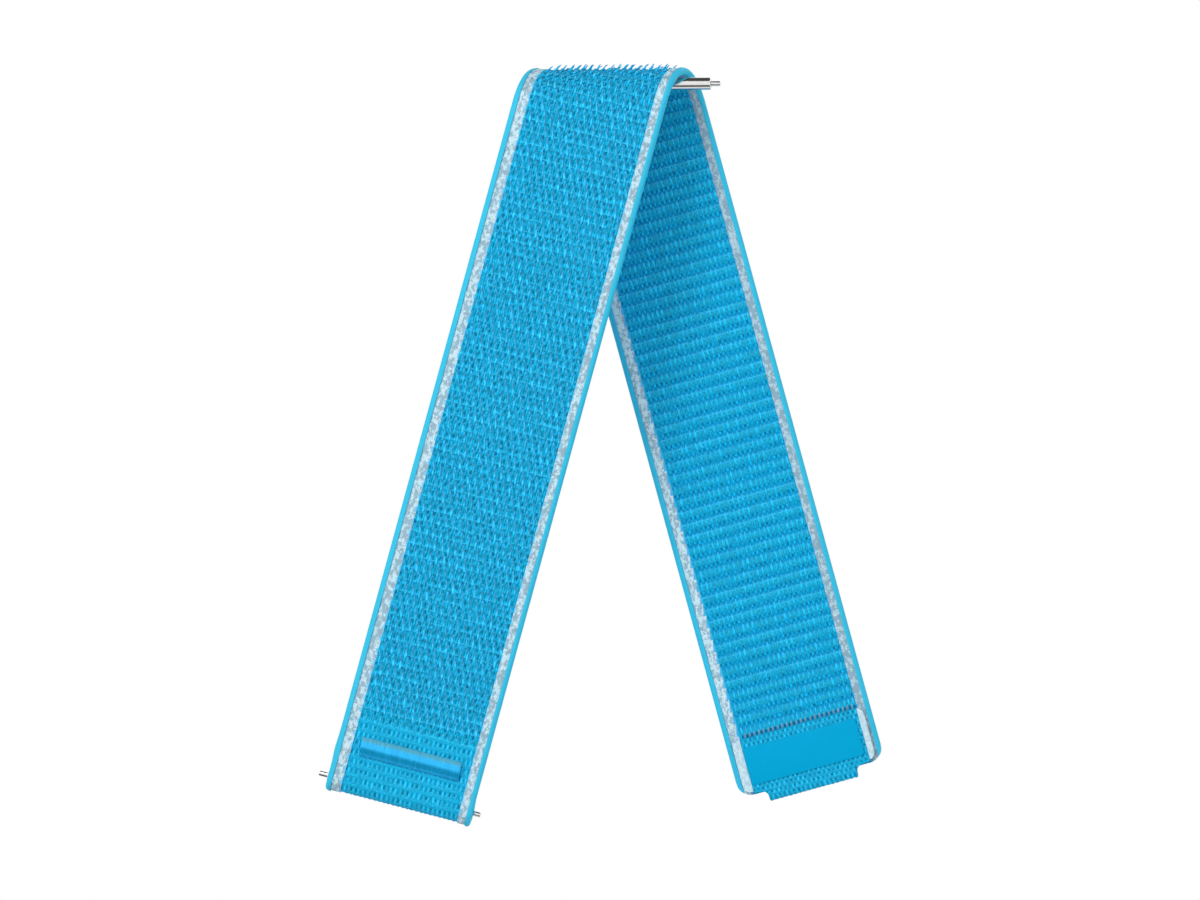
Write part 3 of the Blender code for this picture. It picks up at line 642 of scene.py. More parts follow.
FINISHES = {
    "looped_ground": looped_ground,
    "ribbed_ground": ribbed_ground,
    "knit_ground": knit_ground,
    "loop_yarn": lambda look: yarn("loop_yarn", look.loop_tail, look.loop, look.loop, light=loop_light),
    "pile_yarn": lambda look: yarn("pile_yarn", look.ground, look.rib, look.pile_tip, roughness=0.4),
    "rib_yarn": lambda look: yarn("rib_yarn", look.loop_tail, look.rib, look.rib_foot),
    "knot_yarn": lambda look: yarn("knot_yarn", look.rib_foot, look.knot, look.rib_foot),
    "knit_yarn": lambda look: yarn("knit_yarn", look.loop, look.rib, look.ground),
    # Not a yarn: dark pieces of painted shade in the holes beside the stitches
    "hole_yarn": lambda look: yarn("hole_yarn", look.hole, look.hole, look.hole, roughness=0.8),
    "selvedge": selvedge_finish,
    "reflective_yarn": silver_finish,
    "tack_thread": tack_finish,
    "stitch_thread": stitch_finish,
    "label_film": film_finish,
    "hook_tape": pad_finish,
    "polished_steel": steel_finish,
    "spring_steel": spring_finish,
    "studio_floor": floor_finish,
}


def finish(name):
    """The material of that name, made when it is first asked for."""
    found = bpy.data.materials.get(MATERIAL_PREFIX + name)
    return found or FINISHES[name](bpy.context.scene.strap_finishes)


# The webbing's own coordinates


PATH_STATIONS = 4000
# The share of its sideways slip that the loop takes back, and the share of the loop after which it does
SLIP_REGAINED = 0.45
# Keeps a point at the limit between the leg and the sewn loop on the leg's side
BESIDE = 1e-9


def triples(*parts):
    """Three numbers for each point: parts that are left out are zero."""
    return np.stack(np.broadcast_arrays(*parts, *[0.0] * (3 - len(parts))), axis=-1)


def rises(value, low, high):
    """Rises smoothly from 0 at low to 1 at high, or falls where low is the larger."""
    share = np.clip((value - low) / (high - low), 0.0, 1.0)
    return share * share * (3 - 2 * share)


class Path:
    """The webbing's middle where it leaves the leg: (length, turn) steps, clockwise turns being negative.

    It gives the distance along the leg and out of it, starting at a level of its own.
    """

    def __init__(self, level, steps):
        self.marks = np.cumsum([0.0] + [size for size, turn in steps])
        self.turns = np.cumsum([0.0] + [turn for size, turn in steps])
        self.total = self.marks[-1]
        self.stations = np.linspace(0.0, self.total, PATH_STATIONS)
        heading = self.heading(self.stations)
        middle = (heading[1:] + heading[:-1]) / 2
        step = np.diff(self.stations)
        self.along = np.concatenate([[0.0], np.cumsum(np.cos(middle) * step)])
        self.out = level + np.concatenate([[0.0], np.cumsum(np.sin(middle) * step)])

    def heading(self, run):
        return np.interp(run, self.marks, self.turns)

    def place(self, run, through):
        """Distances along and out of the leg, for distances along the path and through the webbing."""
        heading = self.heading(run)
        along = np.interp(run, self.stations, self.along) - through * np.sin(heading)
        out = np.interp(run, self.stations, self.out) + through * np.cos(heading)
        return along, out


class Ribbon:
    """The webbing: turns flat points into points in space, and tells the rows and threads of the weave."""

    def __init__(self, scene):
        web, weave, ends, bars = scene.strap_webbing, scene.strap_weave, scene.strap_ends, scene.strap_bars
        self.web, self.weave, self.ends, self.bars = web, weave, ends, bars
        self.sine, self.cosine = math.sin(web.fold_skew), math.cos(web.fold_skew)
        self.radius = web.fold_radius
        self.wrap_angle = math.pi / 2 - web.leg_lean
        self.wrap = self.radius * self.wrap_angle
        self.centre = np.array((-web.slid_out, 0.0, -web.fold_drop))
        self.half = web.width / 2
        self.selvedge_start = {LEFT: self.half - web.left_selvedge, RIGHT: self.half - web.right_selvedge}
        self.silver_start = {LEFT: self.selvedge_start[LEFT] - web.left_reflective,
                             RIGHT: self.selvedge_start[RIGHT] - web.right_reflective}
        self.field_half = {side: start - WOVEN_GAP for side, start in self.silver_start.items()}
        self.half_thickness = web.thickness / 2
        self.crest = self.half_thickness - CREST_DROP
        self.field_face = FIELD_SHARE * web.thickness
        self.silver_face = self.half_thickness - SILVER_DROP
        self.flap_face = -(self.half_thickness + SEWN_GAP)
        self.loop_radius = bars.radius + ends.loop_clearance + self.half_thickness
        self.bar_axis = web.front_length - self.loop_radius - self.half_thickness
        self.loop, self.flap = self.loop_path(), self.flap_path()
        self.loop_end = self.bar_axis + self.loop.total
        self.bare_front, self.ribs_front = weave.front_bare - web.front_length, ends.lap - self.bar_axis
        self.bare_rear = web.rear_length - weave.rear_bare
        self.ribs_rear = web.rear_length - weave.ribs_from_end
        front_end, rear_end = web.front_length + SPARE_LENGTH, web.rear_length + SPARE_LENGTH
        self.row_marks = (-front_end, -weave.front_first, weave.rear_first, rear_end)
        self.row_numbers = (1 + (front_end - weave.front_first) / weave.front_row, 1.0, -1.0,
                            -1 - (rear_end - weave.rear_first) / weave.rear_row)

    def loop_path(self):
        """Round the sewn bar, straight up to the leg's back, and along it under the tack."""
        ends = self.ends
        closing, bend = ends.loop_closing, ends.loop_bend
        round_bar = math.pi + closing
        reached = -self.loop_radius * (1 + math.cos(closing))
        rise = -(self.web.thickness + SEWN_GAP) - bend * (1 - math.cos(closing)) - reached
        return Path(0.0, [(self.loop_radius * round_bar, -round_bar), (rise / math.sin(closing), 0.0),
                          (bend * closing, closing), (ends.lap, 0.0)])

    def flap_path(self):
        """Out of the strap's end by the tab, half a turn, and back over the ribbed side."""
        ends = self.ends
        tail_middle = (self.field_face - self.crest) / 2
        turn = (tail_middle - self.flap_face + ends.ply / 2) / 2
        self.tab_flat = ends.tab_reach - turn - ends.ply / 2
        self.tab_turn = math.pi * turn
        return Path(tail_middle, [(self.tab_flat, 0.0), (self.tab_turn, -math.pi),
                                  (self.tab_flat + ends.flap_length, 0.0)])

    def flap_half(self, run, side):
        """How far the turned-back end reaches to a side: a rounded notch on each side of the tab."""
        ends = self.ends
        past_end = np.where(run <= self.tab_flat + self.tab_turn / 2, np.minimum(run, self.tab_flat),
                            np.minimum(2 * self.tab_flat + self.tab_turn - run, self.tab_flat))
        sine = np.clip((self.tab_flat - past_end) / ends.tab_fillet, 0.0, 1.0)
        notch = ends.tab_width / 2 + ends.tab_fillet * (1 - np.sqrt(1 - sine * sine))
        start = self.tab_flat - ends.tab_fillet
        share = np.clip((past_end - start) / (-ends.flap_shoulder - start), 0.0, 1.0)
        return notch + (self.field_half[side] - notch) * share

    def inside(self, x, margin):
        """Whether a place across the ribbon lies within its centre field by a margin."""
        return margin - self.field_half[LEFT] < x < self.field_half[RIGHT] - margin

    def drop(self, points):
        """How far flat points lie past the crown, square to the bar: above zero on the front leg."""
        return points[..., 0] * self.sine - points[..., 1] * self.cosine

    def zone(self, point):
        """The stretch that a flat point belongs to: on the fold within a quarter turn, less the leg's lean."""
        drop = float(self.drop(np.asarray(point)))
        if abs(drop) > self.wrap:
            return FRONT_END if drop > 0 else REAR_END
        return FRONT_FOLD if drop > 0 else REAR_FOLD

    def lay(self, points):
        """Points in space of flat points, with the sewn loop and the turned-back end bent round."""
        x, y, t = np.array(points, dtype=float).reshape(-1, 3).T
        loop, flap = y < -self.bar_axis, y > self.web.rear_length
        run = -self.bar_axis - y[loop]
        slipped = rises(run, 0.0, math.pi * self.loop_radius)
        regained = SLIP_REGAINED * rises(run, SLIP_REGAINED * self.loop.total, self.loop.total)
        x[loop] -= self.ends.loop_slip * (slipped - regained)
        along, out = self.loop.place(run, t[loop])
        y[loop], t[loop] = -self.bar_axis - along, out
        along, out = self.flap.place(y[flap] - self.web.rear_length, t[flap])
        y[flap], t[flap] = self.web.rear_length + along, out
        drop = x * self.sine - y * self.cosine
        turn = np.clip(drop, -self.wrap, self.wrap) / self.radius
        run, reach = drop - turn * self.radius, self.radius + t
        place = triples(x / self.cosine - drop * self.sine / self.cosine,
                        -reach * np.sin(turn) - run * np.cos(turn), reach * np.cos(turn) - run * np.sin(turn))
        return place + self.centre

    def row_at(self, y):
        """Row numbers along the ribbon: above zero on the front leg, below it on the rear leg."""
        return np.interp(y, self.row_marks, self.row_numbers)

    def y_of_row(self, row):
        return float(np.interp(-row, [-n for n in self.row_numbers], self.row_marks))

    def rows(self, low, high, ratio=1.0):
        """The whole numbers of the rows between two places, where there are that many to one of the weave."""
        return range(math.ceil(self.row_at(high) * ratio), math.floor(self.row_at(low) * ratio) + 1)

    def woven(self, points):
        """Thread number, row number and level in millimetres of flat points."""
        x, y, t = np.asarray(points).reshape(-1, 3).T
        return triples(x / self.weave.thread, self.row_at(y), t * 1000)

    def bar_frame(self):
        """The sewn bar's place, with X along it and Z up the leg."""
        axis = np.array((-self.bars.shift, BESIDE - self.bar_axis, -self.loop_radius))
        ahead = ((1.0, 0.0, 0.0), (0.0, 0.0, 1.0), (0.0, 0.01, 0.0))
        origin, *ahead = self.lay([axis, *(axis + step for step in ahead)])
        across, normal, up = (Vector(point - origin).normalized() for point in ahead)
        turn = Matrix((across, -normal, up)).transposed().to_4x4()
        return Matrix.Translation(Vector(origin)) @ turn


# Building blocks


def flat_places(bm):
    return np.array([vert.co for vert in bm.verts], dtype=float).reshape(-1, 3)


def grid(x_low, x_high, y_low, y_high, columns, step):
    """A flat grid of quads at the level +0.5, which a thickness turns into a slab down to -0.5."""
    bm = bmesh.new()
    rows = round((y_high - y_low) / step)
    size = Matrix.Diagonal((x_high - x_low, y_high - y_low, 1.0, 1.0))
    place = Matrix.Translation(((x_low + x_high) / 2, (y_low + y_high) / 2, 0.5))
    bmesh.ops.create_grid(bm, x_segments=columns, y_segments=rows, size=0.5, matrix=place @ size)
    return bm


def trim(bm, ribbon, zone):
    """Keeps only the stretch of a grid that belongs to a zone."""
    limits = {FRONT_END: (ribbon.wrap, None), FRONT_FOLD: (0.0, ribbon.wrap), REAR_FOLD: (-ribbon.wrap, 0.0),
              REAR_END: (None, -ribbon.wrap)}
    down = Vector((ribbon.sine, -ribbon.cosine, 0.0))
    for drop, outer in zip(limits[zone], (False, True)):
        if drop is not None:
            everything = bm.verts[:] + bm.edges[:] + bm.faces[:]
            bmesh.ops.bisect_plane(bm, geom=everything, dist=1e-7, plane_co=down * drop, plane_no=down,
                                   clear_outer=outer, clear_inner=not outer)


def thicken(bm):
    """Turns a grid at the level +0.5 into a closed slab down to -0.5."""
    made = bmesh.ops.extrude_face_region(bm, geom=bm.faces[:])
    moved = [part for part in made["geom"] if isinstance(part, bmesh.types.BMVert)]
    bmesh.ops.translate(bm, verts=moved, vec=(0.0, 0.0, -1.0))
    bmesh.ops.recalc_face_normals(bm, faces=bm.faces[:])


# The angle between two faces from which their edge stays sharp
FIELD_SMOOTH, BAND_SMOOTH, PLATE_SMOOTH, TURNED_SMOOTH = 0.7, 1.2, 0.6, 0.5


def smooth(bm, limit=FIELD_SMOOTH):
    for face in bm.faces:
        face.smooth = True
    for edge in bm.edges:
        edge.smooth = len(edge.link_faces) == 2 and edge.calc_face_angle(0.0) < limit


def float_vectors(values):
    return np.asarray(values, dtype=np.float32).ravel()


def add_object(name, bm, places, materials, **attributes):
    """A mesh object whose points are put at the given places."""
    mesh = bpy.data.meshes.new(name)
    bm.to_mesh(mesh)
    bm.free()
    mesh.vertices.foreach_set("co", float_vectors(places))
    for attribute, values in attributes.items():
        made = mesh.attributes.new(attribute, "FLOAT_VECTOR", "POINT")
        made.data.foreach_set("vector", float_vectors(values))
    for material in materials:
        mesh.materials.append(finish(material))
    mesh.update()
    made = bpy.data.objects.new(name, mesh)
    bpy.context.scene.collection.objects.link(made)
    return made


def add_piece(name, bm, places, materials, slot, nodes, body=None, **attributes):
    """An object that stands for solids of the part; a rigid one rides on its body. Its slot is not used."""
    made = add_object(name, bm, places, materials, **attributes)
    if nodes:
        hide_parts(*nodes)
    if body:
        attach(made, body)
    return made


def follow(ribbon, made, zone):
    """Lets a piece at either end of the webbing move with its leg; a piece on the fold keeps its place baked
    into its mesh.
    """
    leg, way = ("front_leg", -1) if zone in (FRONT_END, FRONT_FOLD) else ("rear_leg", 1)
    if zone in (FRONT_END, REAR_END):
        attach(made, leg)
        return
    centre = Vector(ribbon.centre)
    edge = Vector((0.0, way * math.sin(ribbon.wrap_angle), math.cos(ribbon.wrap_angle))) * ribbon.radius
    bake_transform(made)


def add_slab(ribbon, name, zone, bm, faces, materials, slot, nodes, mark=None, squeeze=None,
             band=None):
    """A closed piece of webbing made from a grid: faces are two functions of (x, y) that give the levels.

    Where it has several materials, mark() tells its faces apart. Where it is a band, squeeze() rounds its
    end and its attribute tells how far each point lies from the band's start to its end.
    """
    thicken(bm)
    if mark:
        mark(bm)
    smooth(bm, BAND_SMOOTH if band else FIELD_SMOOTH)
    places = flat_places(bm)
    if squeeze:
        places[:, 1] = squeeze(places[:, 0], places[:, 1])
    x, y, side = places.T
    places[:, 2] = np.where(side > 0, *(face(x, y) for face in faces))
    attributes = {"weave": ribbon.woven(places)}
    if band:
        attributes["band"] = triples((np.abs(x) - band[0]) / (band[1] - band[0]))
    made = add_piece(name, bm, ribbon.lay(places), materials, slot, nodes, **attributes)
    follow(ribbon, made, zone)


def stretches(ribbon):
    """(zone, lowest y, highest y) of the four stretches, with enough to spare to be trimmed."""
    spare = ribbon.half * ribbon.sine + TRIM_SPARE
    edge = (ribbon.wrap + spare) / ribbon.cosine
    near = (ribbon.wrap - spare) / ribbon.cosine
    return ((FRONT_END, -ribbon.bar_axis, -near), (FRONT_FOLD, -edge, spare), (REAR_FOLD, -spare, edge),
            (REAR_END, near, ribbon.web.rear_length))


def unit_yarn(name, around, along):
    """A small round yarn one unit long, wide and high, lying along Y."""
    bm = bmesh.new()
    lying = Matrix.Rotation(math.pi / 2, 4, "X")
    bmesh.ops.create_uvsphere(bm, u_segments=around, v_segments=along, radius=0.5, matrix=lying)
    return small_mesh(name, bm)


def unit_tube(name, rings):
    """A straight upright tube one unit long and wide, whose end face is extruded ring by ring."""
    bm = bmesh.new()
    bmesh.ops.create_circle(bm, cap_ends=True, radius=0.5, segments=6)
    tip = bm.faces[:]
    for k in range(rings):
        made = bmesh.ops.extrude_face_region(bm, geom=tip)
        tip = [part for part in made["geom"] if isinstance(part, bmesh.types.BMFace)]
        bmesh.ops.translate(bm, verts=tip[0].verts, vec=(0.0, 0.0, 1.0 / rings))
    return small_mesh(name, bm)


def bent(shape, size, wide, thin, start, end):
    """The upright tube's shape bent towards +X, from a start to an end angle, and thinned towards its tip."""
    rise = shape[:, 2]
    heights = np.unique(np.round(rise, 6))
    angles = start + (end - start) * (heights[1:] + heights[:-1]) / 2
    steps = np.diff(heights) * size
    middle_x = np.interp(rise, heights, np.concatenate([[0.0], np.cumsum(np.sin(angles) * steps)]))
    middle_z = np.interp(rise, heights, np.concatenate([[0.0], np.cumsum(np.cos(angles) * steps)]))
    here, width = start + (end - start) * rise, wide + (thin - wide) * rise ** 1.3
    return triples(middle_x + shape[:, 0] * width * np.cos(here), shape[:, 1] * width,
                   middle_z - shape[:, 0] * width * np.sin(here))


def small_mesh(name, bm):
    bmesh.ops.recalc_face_normals(bm, faces=bm.faces[:])
    for face in bm.faces:
        face.smooth = True
    mesh = bpy.data.meshes.new(name)
    bm.to_mesh(mesh)
    bm.free()
    return mesh


def shape_of(mesh):
    places = np.zeros(len(mesh.vertices) * 3, dtype=np.float32)
    mesh.vertices.foreach_get("co", places)
    return places.reshape(-1, 3).astype(float)


class Strewn:
    """Copies of one small yarn over the webbing, sorted into the stretches that they ride on."""

    def __init__(self, ribbon, template, along=lambda x, y, z: 0.5 + y):
        self.ribbon, self.template = ribbon, template
        self.unit = shape_of(template)
        self.along = np.broadcast_to(along(*self.unit.T), len(self.unit))
        self.copies = {zone: [] for zone in ZONES}
        self.chances = {zone: [] for zone in ZONES}
        self.random = np.random.default_rng(ribbon.weave.seed)

    def jitter(self, size):
        """A random number of up to that size, below or above zero."""
        return float(self.random.uniform(-size, size))

    def uneven(self, share):
        """A factor that differs from 1 by no more than a share."""
        return 1 + self.jitter(share)

    def put(self, shaped, middle, lean=0.0):
        """A copy with its own flat shape about its middle, turned by a lean in the plane of the webbing."""
        cosine, sine = math.cos(lean), math.sin(lean)
        x, y, z = shaped.T
        zone = self.ribbon.zone(middle)
        self.copies[zone].append(triples(x * cosine - y * sine, x * sine + y * cosine, z) + middle)
        self.chances[zone].append(float(self.random.random()))

    def build(self, name, material, slot, nodes=()):
        for zone, copies in self.copies.items():
            if not copies:
                continue
            bm = bmesh.new()
            for placed in copies:
                self.template.vertices.foreach_set("co", float_vectors(placed))
                bm.from_mesh(self.template)
            places = np.concatenate(copies)
            yarns = triples(np.repeat(self.chances[zone], len(self.unit)), np.tile(self.along, len(copies)))
            piece = add_piece(f"{zone}_{name}", bm, self.ribbon.lay(places), [material], slot, nodes,
                              weave=self.ribbon.woven(places), yarn=yarns)
            follow(self.ribbon, piece, zone)
        bpy.data.meshes.remove(self.template)


# The pieces

# How far the ground swells and where in its row, where the ribs crest, and how gently both sides start
GROUND_SWELL, SWELL_PHASE, CREST_PHASE = 0.00003, 0.05, 0.12
LOOPED_FADE, RIBBED_FADE = 0.0006, 0.0008
# How far yarns lie from their place in the row: the pile's number of threads across, and metres for the rest
LOOP_ALONG, STREAK_ACROSS, STREAK_ALONG = 0.00022, -0.00024, 0.00116
RIB_ALONG, KNOT_ALONG, PILE_THREADS, PILE_ALONG = 0.00013, 0.00099, 0.75, -0.0001
# How far yarns lean in the plane of the webbing, in radians
LOOP_LEAN, STREAK_LEAN, STITCH_LEAN = 0.19, 0.26, 0.10
# The share of its width that a loop's tail loses, and how high the middles of loops and rib yarns lie
LOOP_TAPER, LOOP_SEAT, RIB_SEAT = 0.62, 0.35, 0.55
# How far the pile's foot sinks into its ground, and how far knots and stitches stand out of theirs
YARN_STEP = 0.00004
# The pile is full size up to PILE_UP from the crown, and from PILE_DOWN on has these shares of its size
PILE_UP, PILE_DOWN, PILE_TALL, PILE_WIDE = 0.0035, 0.0075, 0.50, 0.75
# Angles from upright at which a pile yarn and a hook of the pad start and end, in radians
PILE_START, PILE_END, HOOK_START, HOOK_END = 0.25, 1.15, -0.3, 2.3
# The tack's threads: their slant, their width to one pitch, the share of their height that is left at the
# rim, and the level of their middle to that height
TACK_SLANT, TACK_OVERLAP, TACK_RIM, TACK_CROWN = -0.07, 1.22, 0.25, 0.84
# The silver bands' swell, how far below their face it starts, and the length that follows the free corners
BEAD_SWELL, BEAD_DROP, CORNER_REACH = 0.00009, 0.00007, 0.008
# The tack's filling: how far it stops short, and its share of the tack's width and height; the tack's shift
FILLING_SHORT, FILLING_WIDE, FILLING_HIGH, TACK_SHIFT = 0.0001, 0.92, 0.80, 0.0002
# The hook pad's backing as a share of its thickness, and how far the hooks stay off its edges
BACKING_SHARE, PAD_MARGIN = 0.42, 0.0012
# Widths of the softened rims of the label and the pad, and of the pad's hooks at their foot and tip
LABEL_RIM, PAD_RIM, HOOK_WIDTHS = 0.00005, 0.00006, (0.00017, 0.00012)
# Turning: segments round a bar, turns and wire of a coil spring, and steps round a shoulder
BAR_SEGMENTS, COIL_SEGMENTS, WIRE_SEGMENTS, SHOULDER_STEPS = 72, 28, 8, 4


class StrapOperator:
    """What every piece's operator shares: it builds over the loaded frame, or raises."""

    bl_options = {"REGISTER", "UNDO"}

    def execute(self, context):
        self.build(Ribbon(context.scene))
        return {"FINISHED"}


def columns(ribbon, spare=0):
    """The numbers of the warp threads, with a few to spare on both sides."""
    across = int(ribbon.half / ribbon.weave.thread) + spare
    return range(-across, across + 1)


def field_grid(ribbon, low, high, step):
    return grid(-ribbon.field_half[LEFT], ribbon.field_half[RIGHT], low, high, FIELD_COLUMNS, step)


class STRAP_OT_ground(StrapOperator, bpy.types.Operator):
    """Weaves the ground of the webbing, with its ribs, over all four stretches and round the sewn bar"""

    bl_idname = "strap.ground"
    bl_label = "Weave the ground"

    def build(self, ribbon):
        weave = ribbon.weave
        bare_front, bare_rear = ribbon.bare_front, ribbon.bare_rear
        ribs_front, ribs_rear = ribbon.ribs_front, ribbon.ribs_rear

        def outer(x, y):
            raised = weave.looped_ground + GROUND_SWELL * np.cos(math.tau * (ribbon.row_at(y) + SWELL_PHASE))
            looped = rises(y, bare_front - LOOPED_FADE, bare_front)
            looped = looped * rises(y, bare_rear + LOOPED_FADE, bare_rear)
            return ribbon.field_face + (raised - ribbon.field_face) * looped

        def inner(x, y):
            swell = 0.5 + 0.5 * np.cos(math.tau * (ribbon.row_at(y) + CREST_PHASE))
            ribbed = rises(y, ribs_front, ribs_front + RIBBED_FADE)
            ribbed = ribbed * rises(y, ribs_rear, ribs_rear - RIBBED_FADE)
            return -(ribbon.crest + (weave.ribbed_ground + weave.rib * swell - ribbon.crest) * ribbed)

        def mark(bm):
            for face in bm.faces:
                middle = face.calc_center_median()
                if middle.z > 0:
                    face.material_index = 0 if bare_front < middle.y < bare_rear else 2
                else:
                    face.material_index = 1 if ribs_front < middle.y < ribs_rear else 2

        materials = ["looped_ground", "ribbed_ground", "knit_ground"]
        nodes = {FRONT_END: ("front_field", "front_pile"), FRONT_FOLD: ("fold_field", "fold_pile"),
                 REAR_END: ("rear_field", "rear_pile")}
        for zone, low, high in stretches(ribbon):
            bm = field_grid(ribbon, low, high, GROUND_STEP)
            trim(bm, ribbon, zone)
            add_slab(ribbon, f"{zone}_webbing", zone, bm, (outer, inner), materials, "strap_weave",
                     nodes.get(zone), mark=mark)
        add_slab(ribbon, "loop_webbing", FRONT_END,
                 field_grid(ribbon, -ribbon.loop_end, -ribbon.bar_axis, BEND_STEP),
                 (lambda x, y: ribbon.field_face, lambda x, y: -ribbon.crest), ["knit_ground"], "strap_weave",
                 ("loop_field",))


class STRAP_OT_looped_side(StrapOperator, bpy.types.Operator):
    """Raises the rows of loops, the fine streaks beside them and the upright pile on the looped side"""

    bl_idname = "strap.looped_side"
    bl_label = "Raise the looped side"

    def build(self, ribbon):
        thread = ribbon.weave.thread
        loops = Strewn(ribbon, unit_yarn("loop", 8, 7), lambda x, y, z: 0.5 - y)
        streaks = Strewn(ribbon, unit_yarn("streak", 6, 6), lambda x, y, z: 0.1)
        hooks = Strewn(ribbon, unit_tube("pile", 6), lambda x, y, z: z)
        for row in ribbon.rows(ribbon.bare_front, ribbon.bare_rear):
            y = ribbon.y_of_row(row)
            for column in columns(ribbon, 3):
                x = column * thread
                if (column + row) % 3 or not ribbon.inside(x, 0.4 * thread):
                    continue
                self.add_loop(loops, ribbon.weave, x, y + LOOP_ALONG)
                if ribbon.inside(x + STREAK_ACROSS, 0.5 * thread):
                    self.add_streak(streaks, ribbon.weave, x + STREAK_ACROSS, y + STREAK_ALONG)
                self.add_hook(hooks, ribbon, x + PILE_THREADS * thread, y + PILE_ALONG)
        loops.build("loops", "loop_yarn", "loop_pile")
        streaks.build("streaks", "loop_yarn", "loop_pile")
        hooks.build("pile", "pile_yarn", "loop_pile")

    def add_loop(self, loops, weave, x, y):
        """One loop: a round head towards the sewn end and a thin tail towards the crown."""
        u, v, w = loops.unit.T
        taper = 1.0 - LOOP_TAPER * rises(v, -0.15, 0.5)
        long, wide = weave.float_length * loops.uneven(0.22), weave.float_width * loops.uneven(0.18)
        shaped = triples(u * wide * taper, v * long, w * weave.float_rise * taper * loops.uneven(0.15))
        middle = (x + loops.jitter(0.00007), y + loops.jitter(0.00014),
                  weave.looped_ground + LOOP_SEAT * weave.float_rise)
        loops.put(shaped, middle, LOOP_LEAN + loops.jitter(0.13))

    def add_streak(self, streaks, weave, x, y):
        shaped = streaks.unit * STREAK * (1.0, streaks.uneven(0.35), 1.0)
        middle = (x + streaks.jitter(0.00007), y + streaks.jitter(0.00018), weave.looped_ground + SEWN_GAP)
        streaks.put(shaped, middle, STREAK_LEAN + streaks.jitter(0.16))

    def add_hook(self, hooks, ribbon, x, y):
        """One upright yarn, tall over the crown of the fold and flattened on the legs."""
        weave = ribbon.weave
        crown = float(rises(abs(ribbon.drop(np.array((x, y)))), PILE_DOWN, PILE_UP))
        tall = weave.hook * (PILE_TALL + (1.0 - PILE_TALL) * crown) * hooks.uneven(0.10)
        wide = weave.hook_width * (PILE_WIDE + (1.0 - PILE_WIDE) * crown) * hooks.uneven(0.12)
        start, end = PILE_START + hooks.jitter(0.2), PILE_END + hooks.jitter(0.25)
        shaped = bent(hooks.unit, tall, wide, 0.35 * wide, start, end)
        x = x + hooks.jitter(0.00006)
        if ribbon.inside(x, 0.0002):
            middle = (x, y + hooks.jitter(0.0001), weave.looped_ground - YARN_STEP)
            hooks.put(shaped, middle, hooks.jitter(0.35))


class STRAP_OT_ribbed_side(StrapOperator, bpy.types.Operator):
    """Lays the pointed yarns and the knots between them over the ribbed side"""

    bl_idname = "strap.ribbed_side"
    bl_label = "Lay the ribbed side"

    def build(self, ribbon):
        thread = ribbon.weave.thread
        yarns, knots = Strewn(ribbon, unit_yarn("rib_yarn", 7, 7)), Strewn(ribbon, unit_yarn("knot", 6, 5))
        for row in ribbon.rows(ribbon.ribs_front + 0.001, ribbon.ribs_rear):
            y = ribbon.y_of_row(row)
            for column in columns(ribbon, 2):
                x = column * thread
                if (column + row) % 2 or not ribbon.inside(x, 0.45 * thread):
                    continue
                self.add_yarn(yarns, ribbon.weave, x, y + RIB_ALONG)
                self.add_knot(knots, ribbon.weave, x, y + KNOT_ALONG)
        yarns.build("rib_yarns", "rib_yarn", "strap_weave")
        knots.build("rib_knots", "knot_yarn", "strap_weave")

    def add_yarn(self, yarns, weave, x, y):
        """One yarn of a rib: pointed towards the sewn end, widest at the rib's crest, blunt at its foot."""
        u, v, w = yarns.unit.T
        wide, long, rise = RIB_YARN * (yarns.uneven(0.18), yarns.uneven(0.14), 1.0)
        slim = (0.45 + 0.55 * rises(v, -0.5, -0.1)) * (1.0 - 0.25 * rises(v, 0.1, 0.5))
        middle = (x + yarns.jitter(0.00005), y + yarns.jitter(0.00009),
                  -(weave.ribbed_ground + RIB_SEAT * weave.rib))
        yarns.put(triples(u * wide * slim, v * long, w * rise * slim), middle, yarns.jitter(0.10))

    def add_knot(self, knots, weave, x, y):
        shaped = knots.unit * KNOT * (1.0, knots.uneven(0.25), 1.0)
        middle = (x + knots.jitter(0.00006), y + knots.jitter(0.00008), -(weave.ribbed_ground + YARN_STEP))
        knots.put(shaped, middle, knots.jitter(0.08))


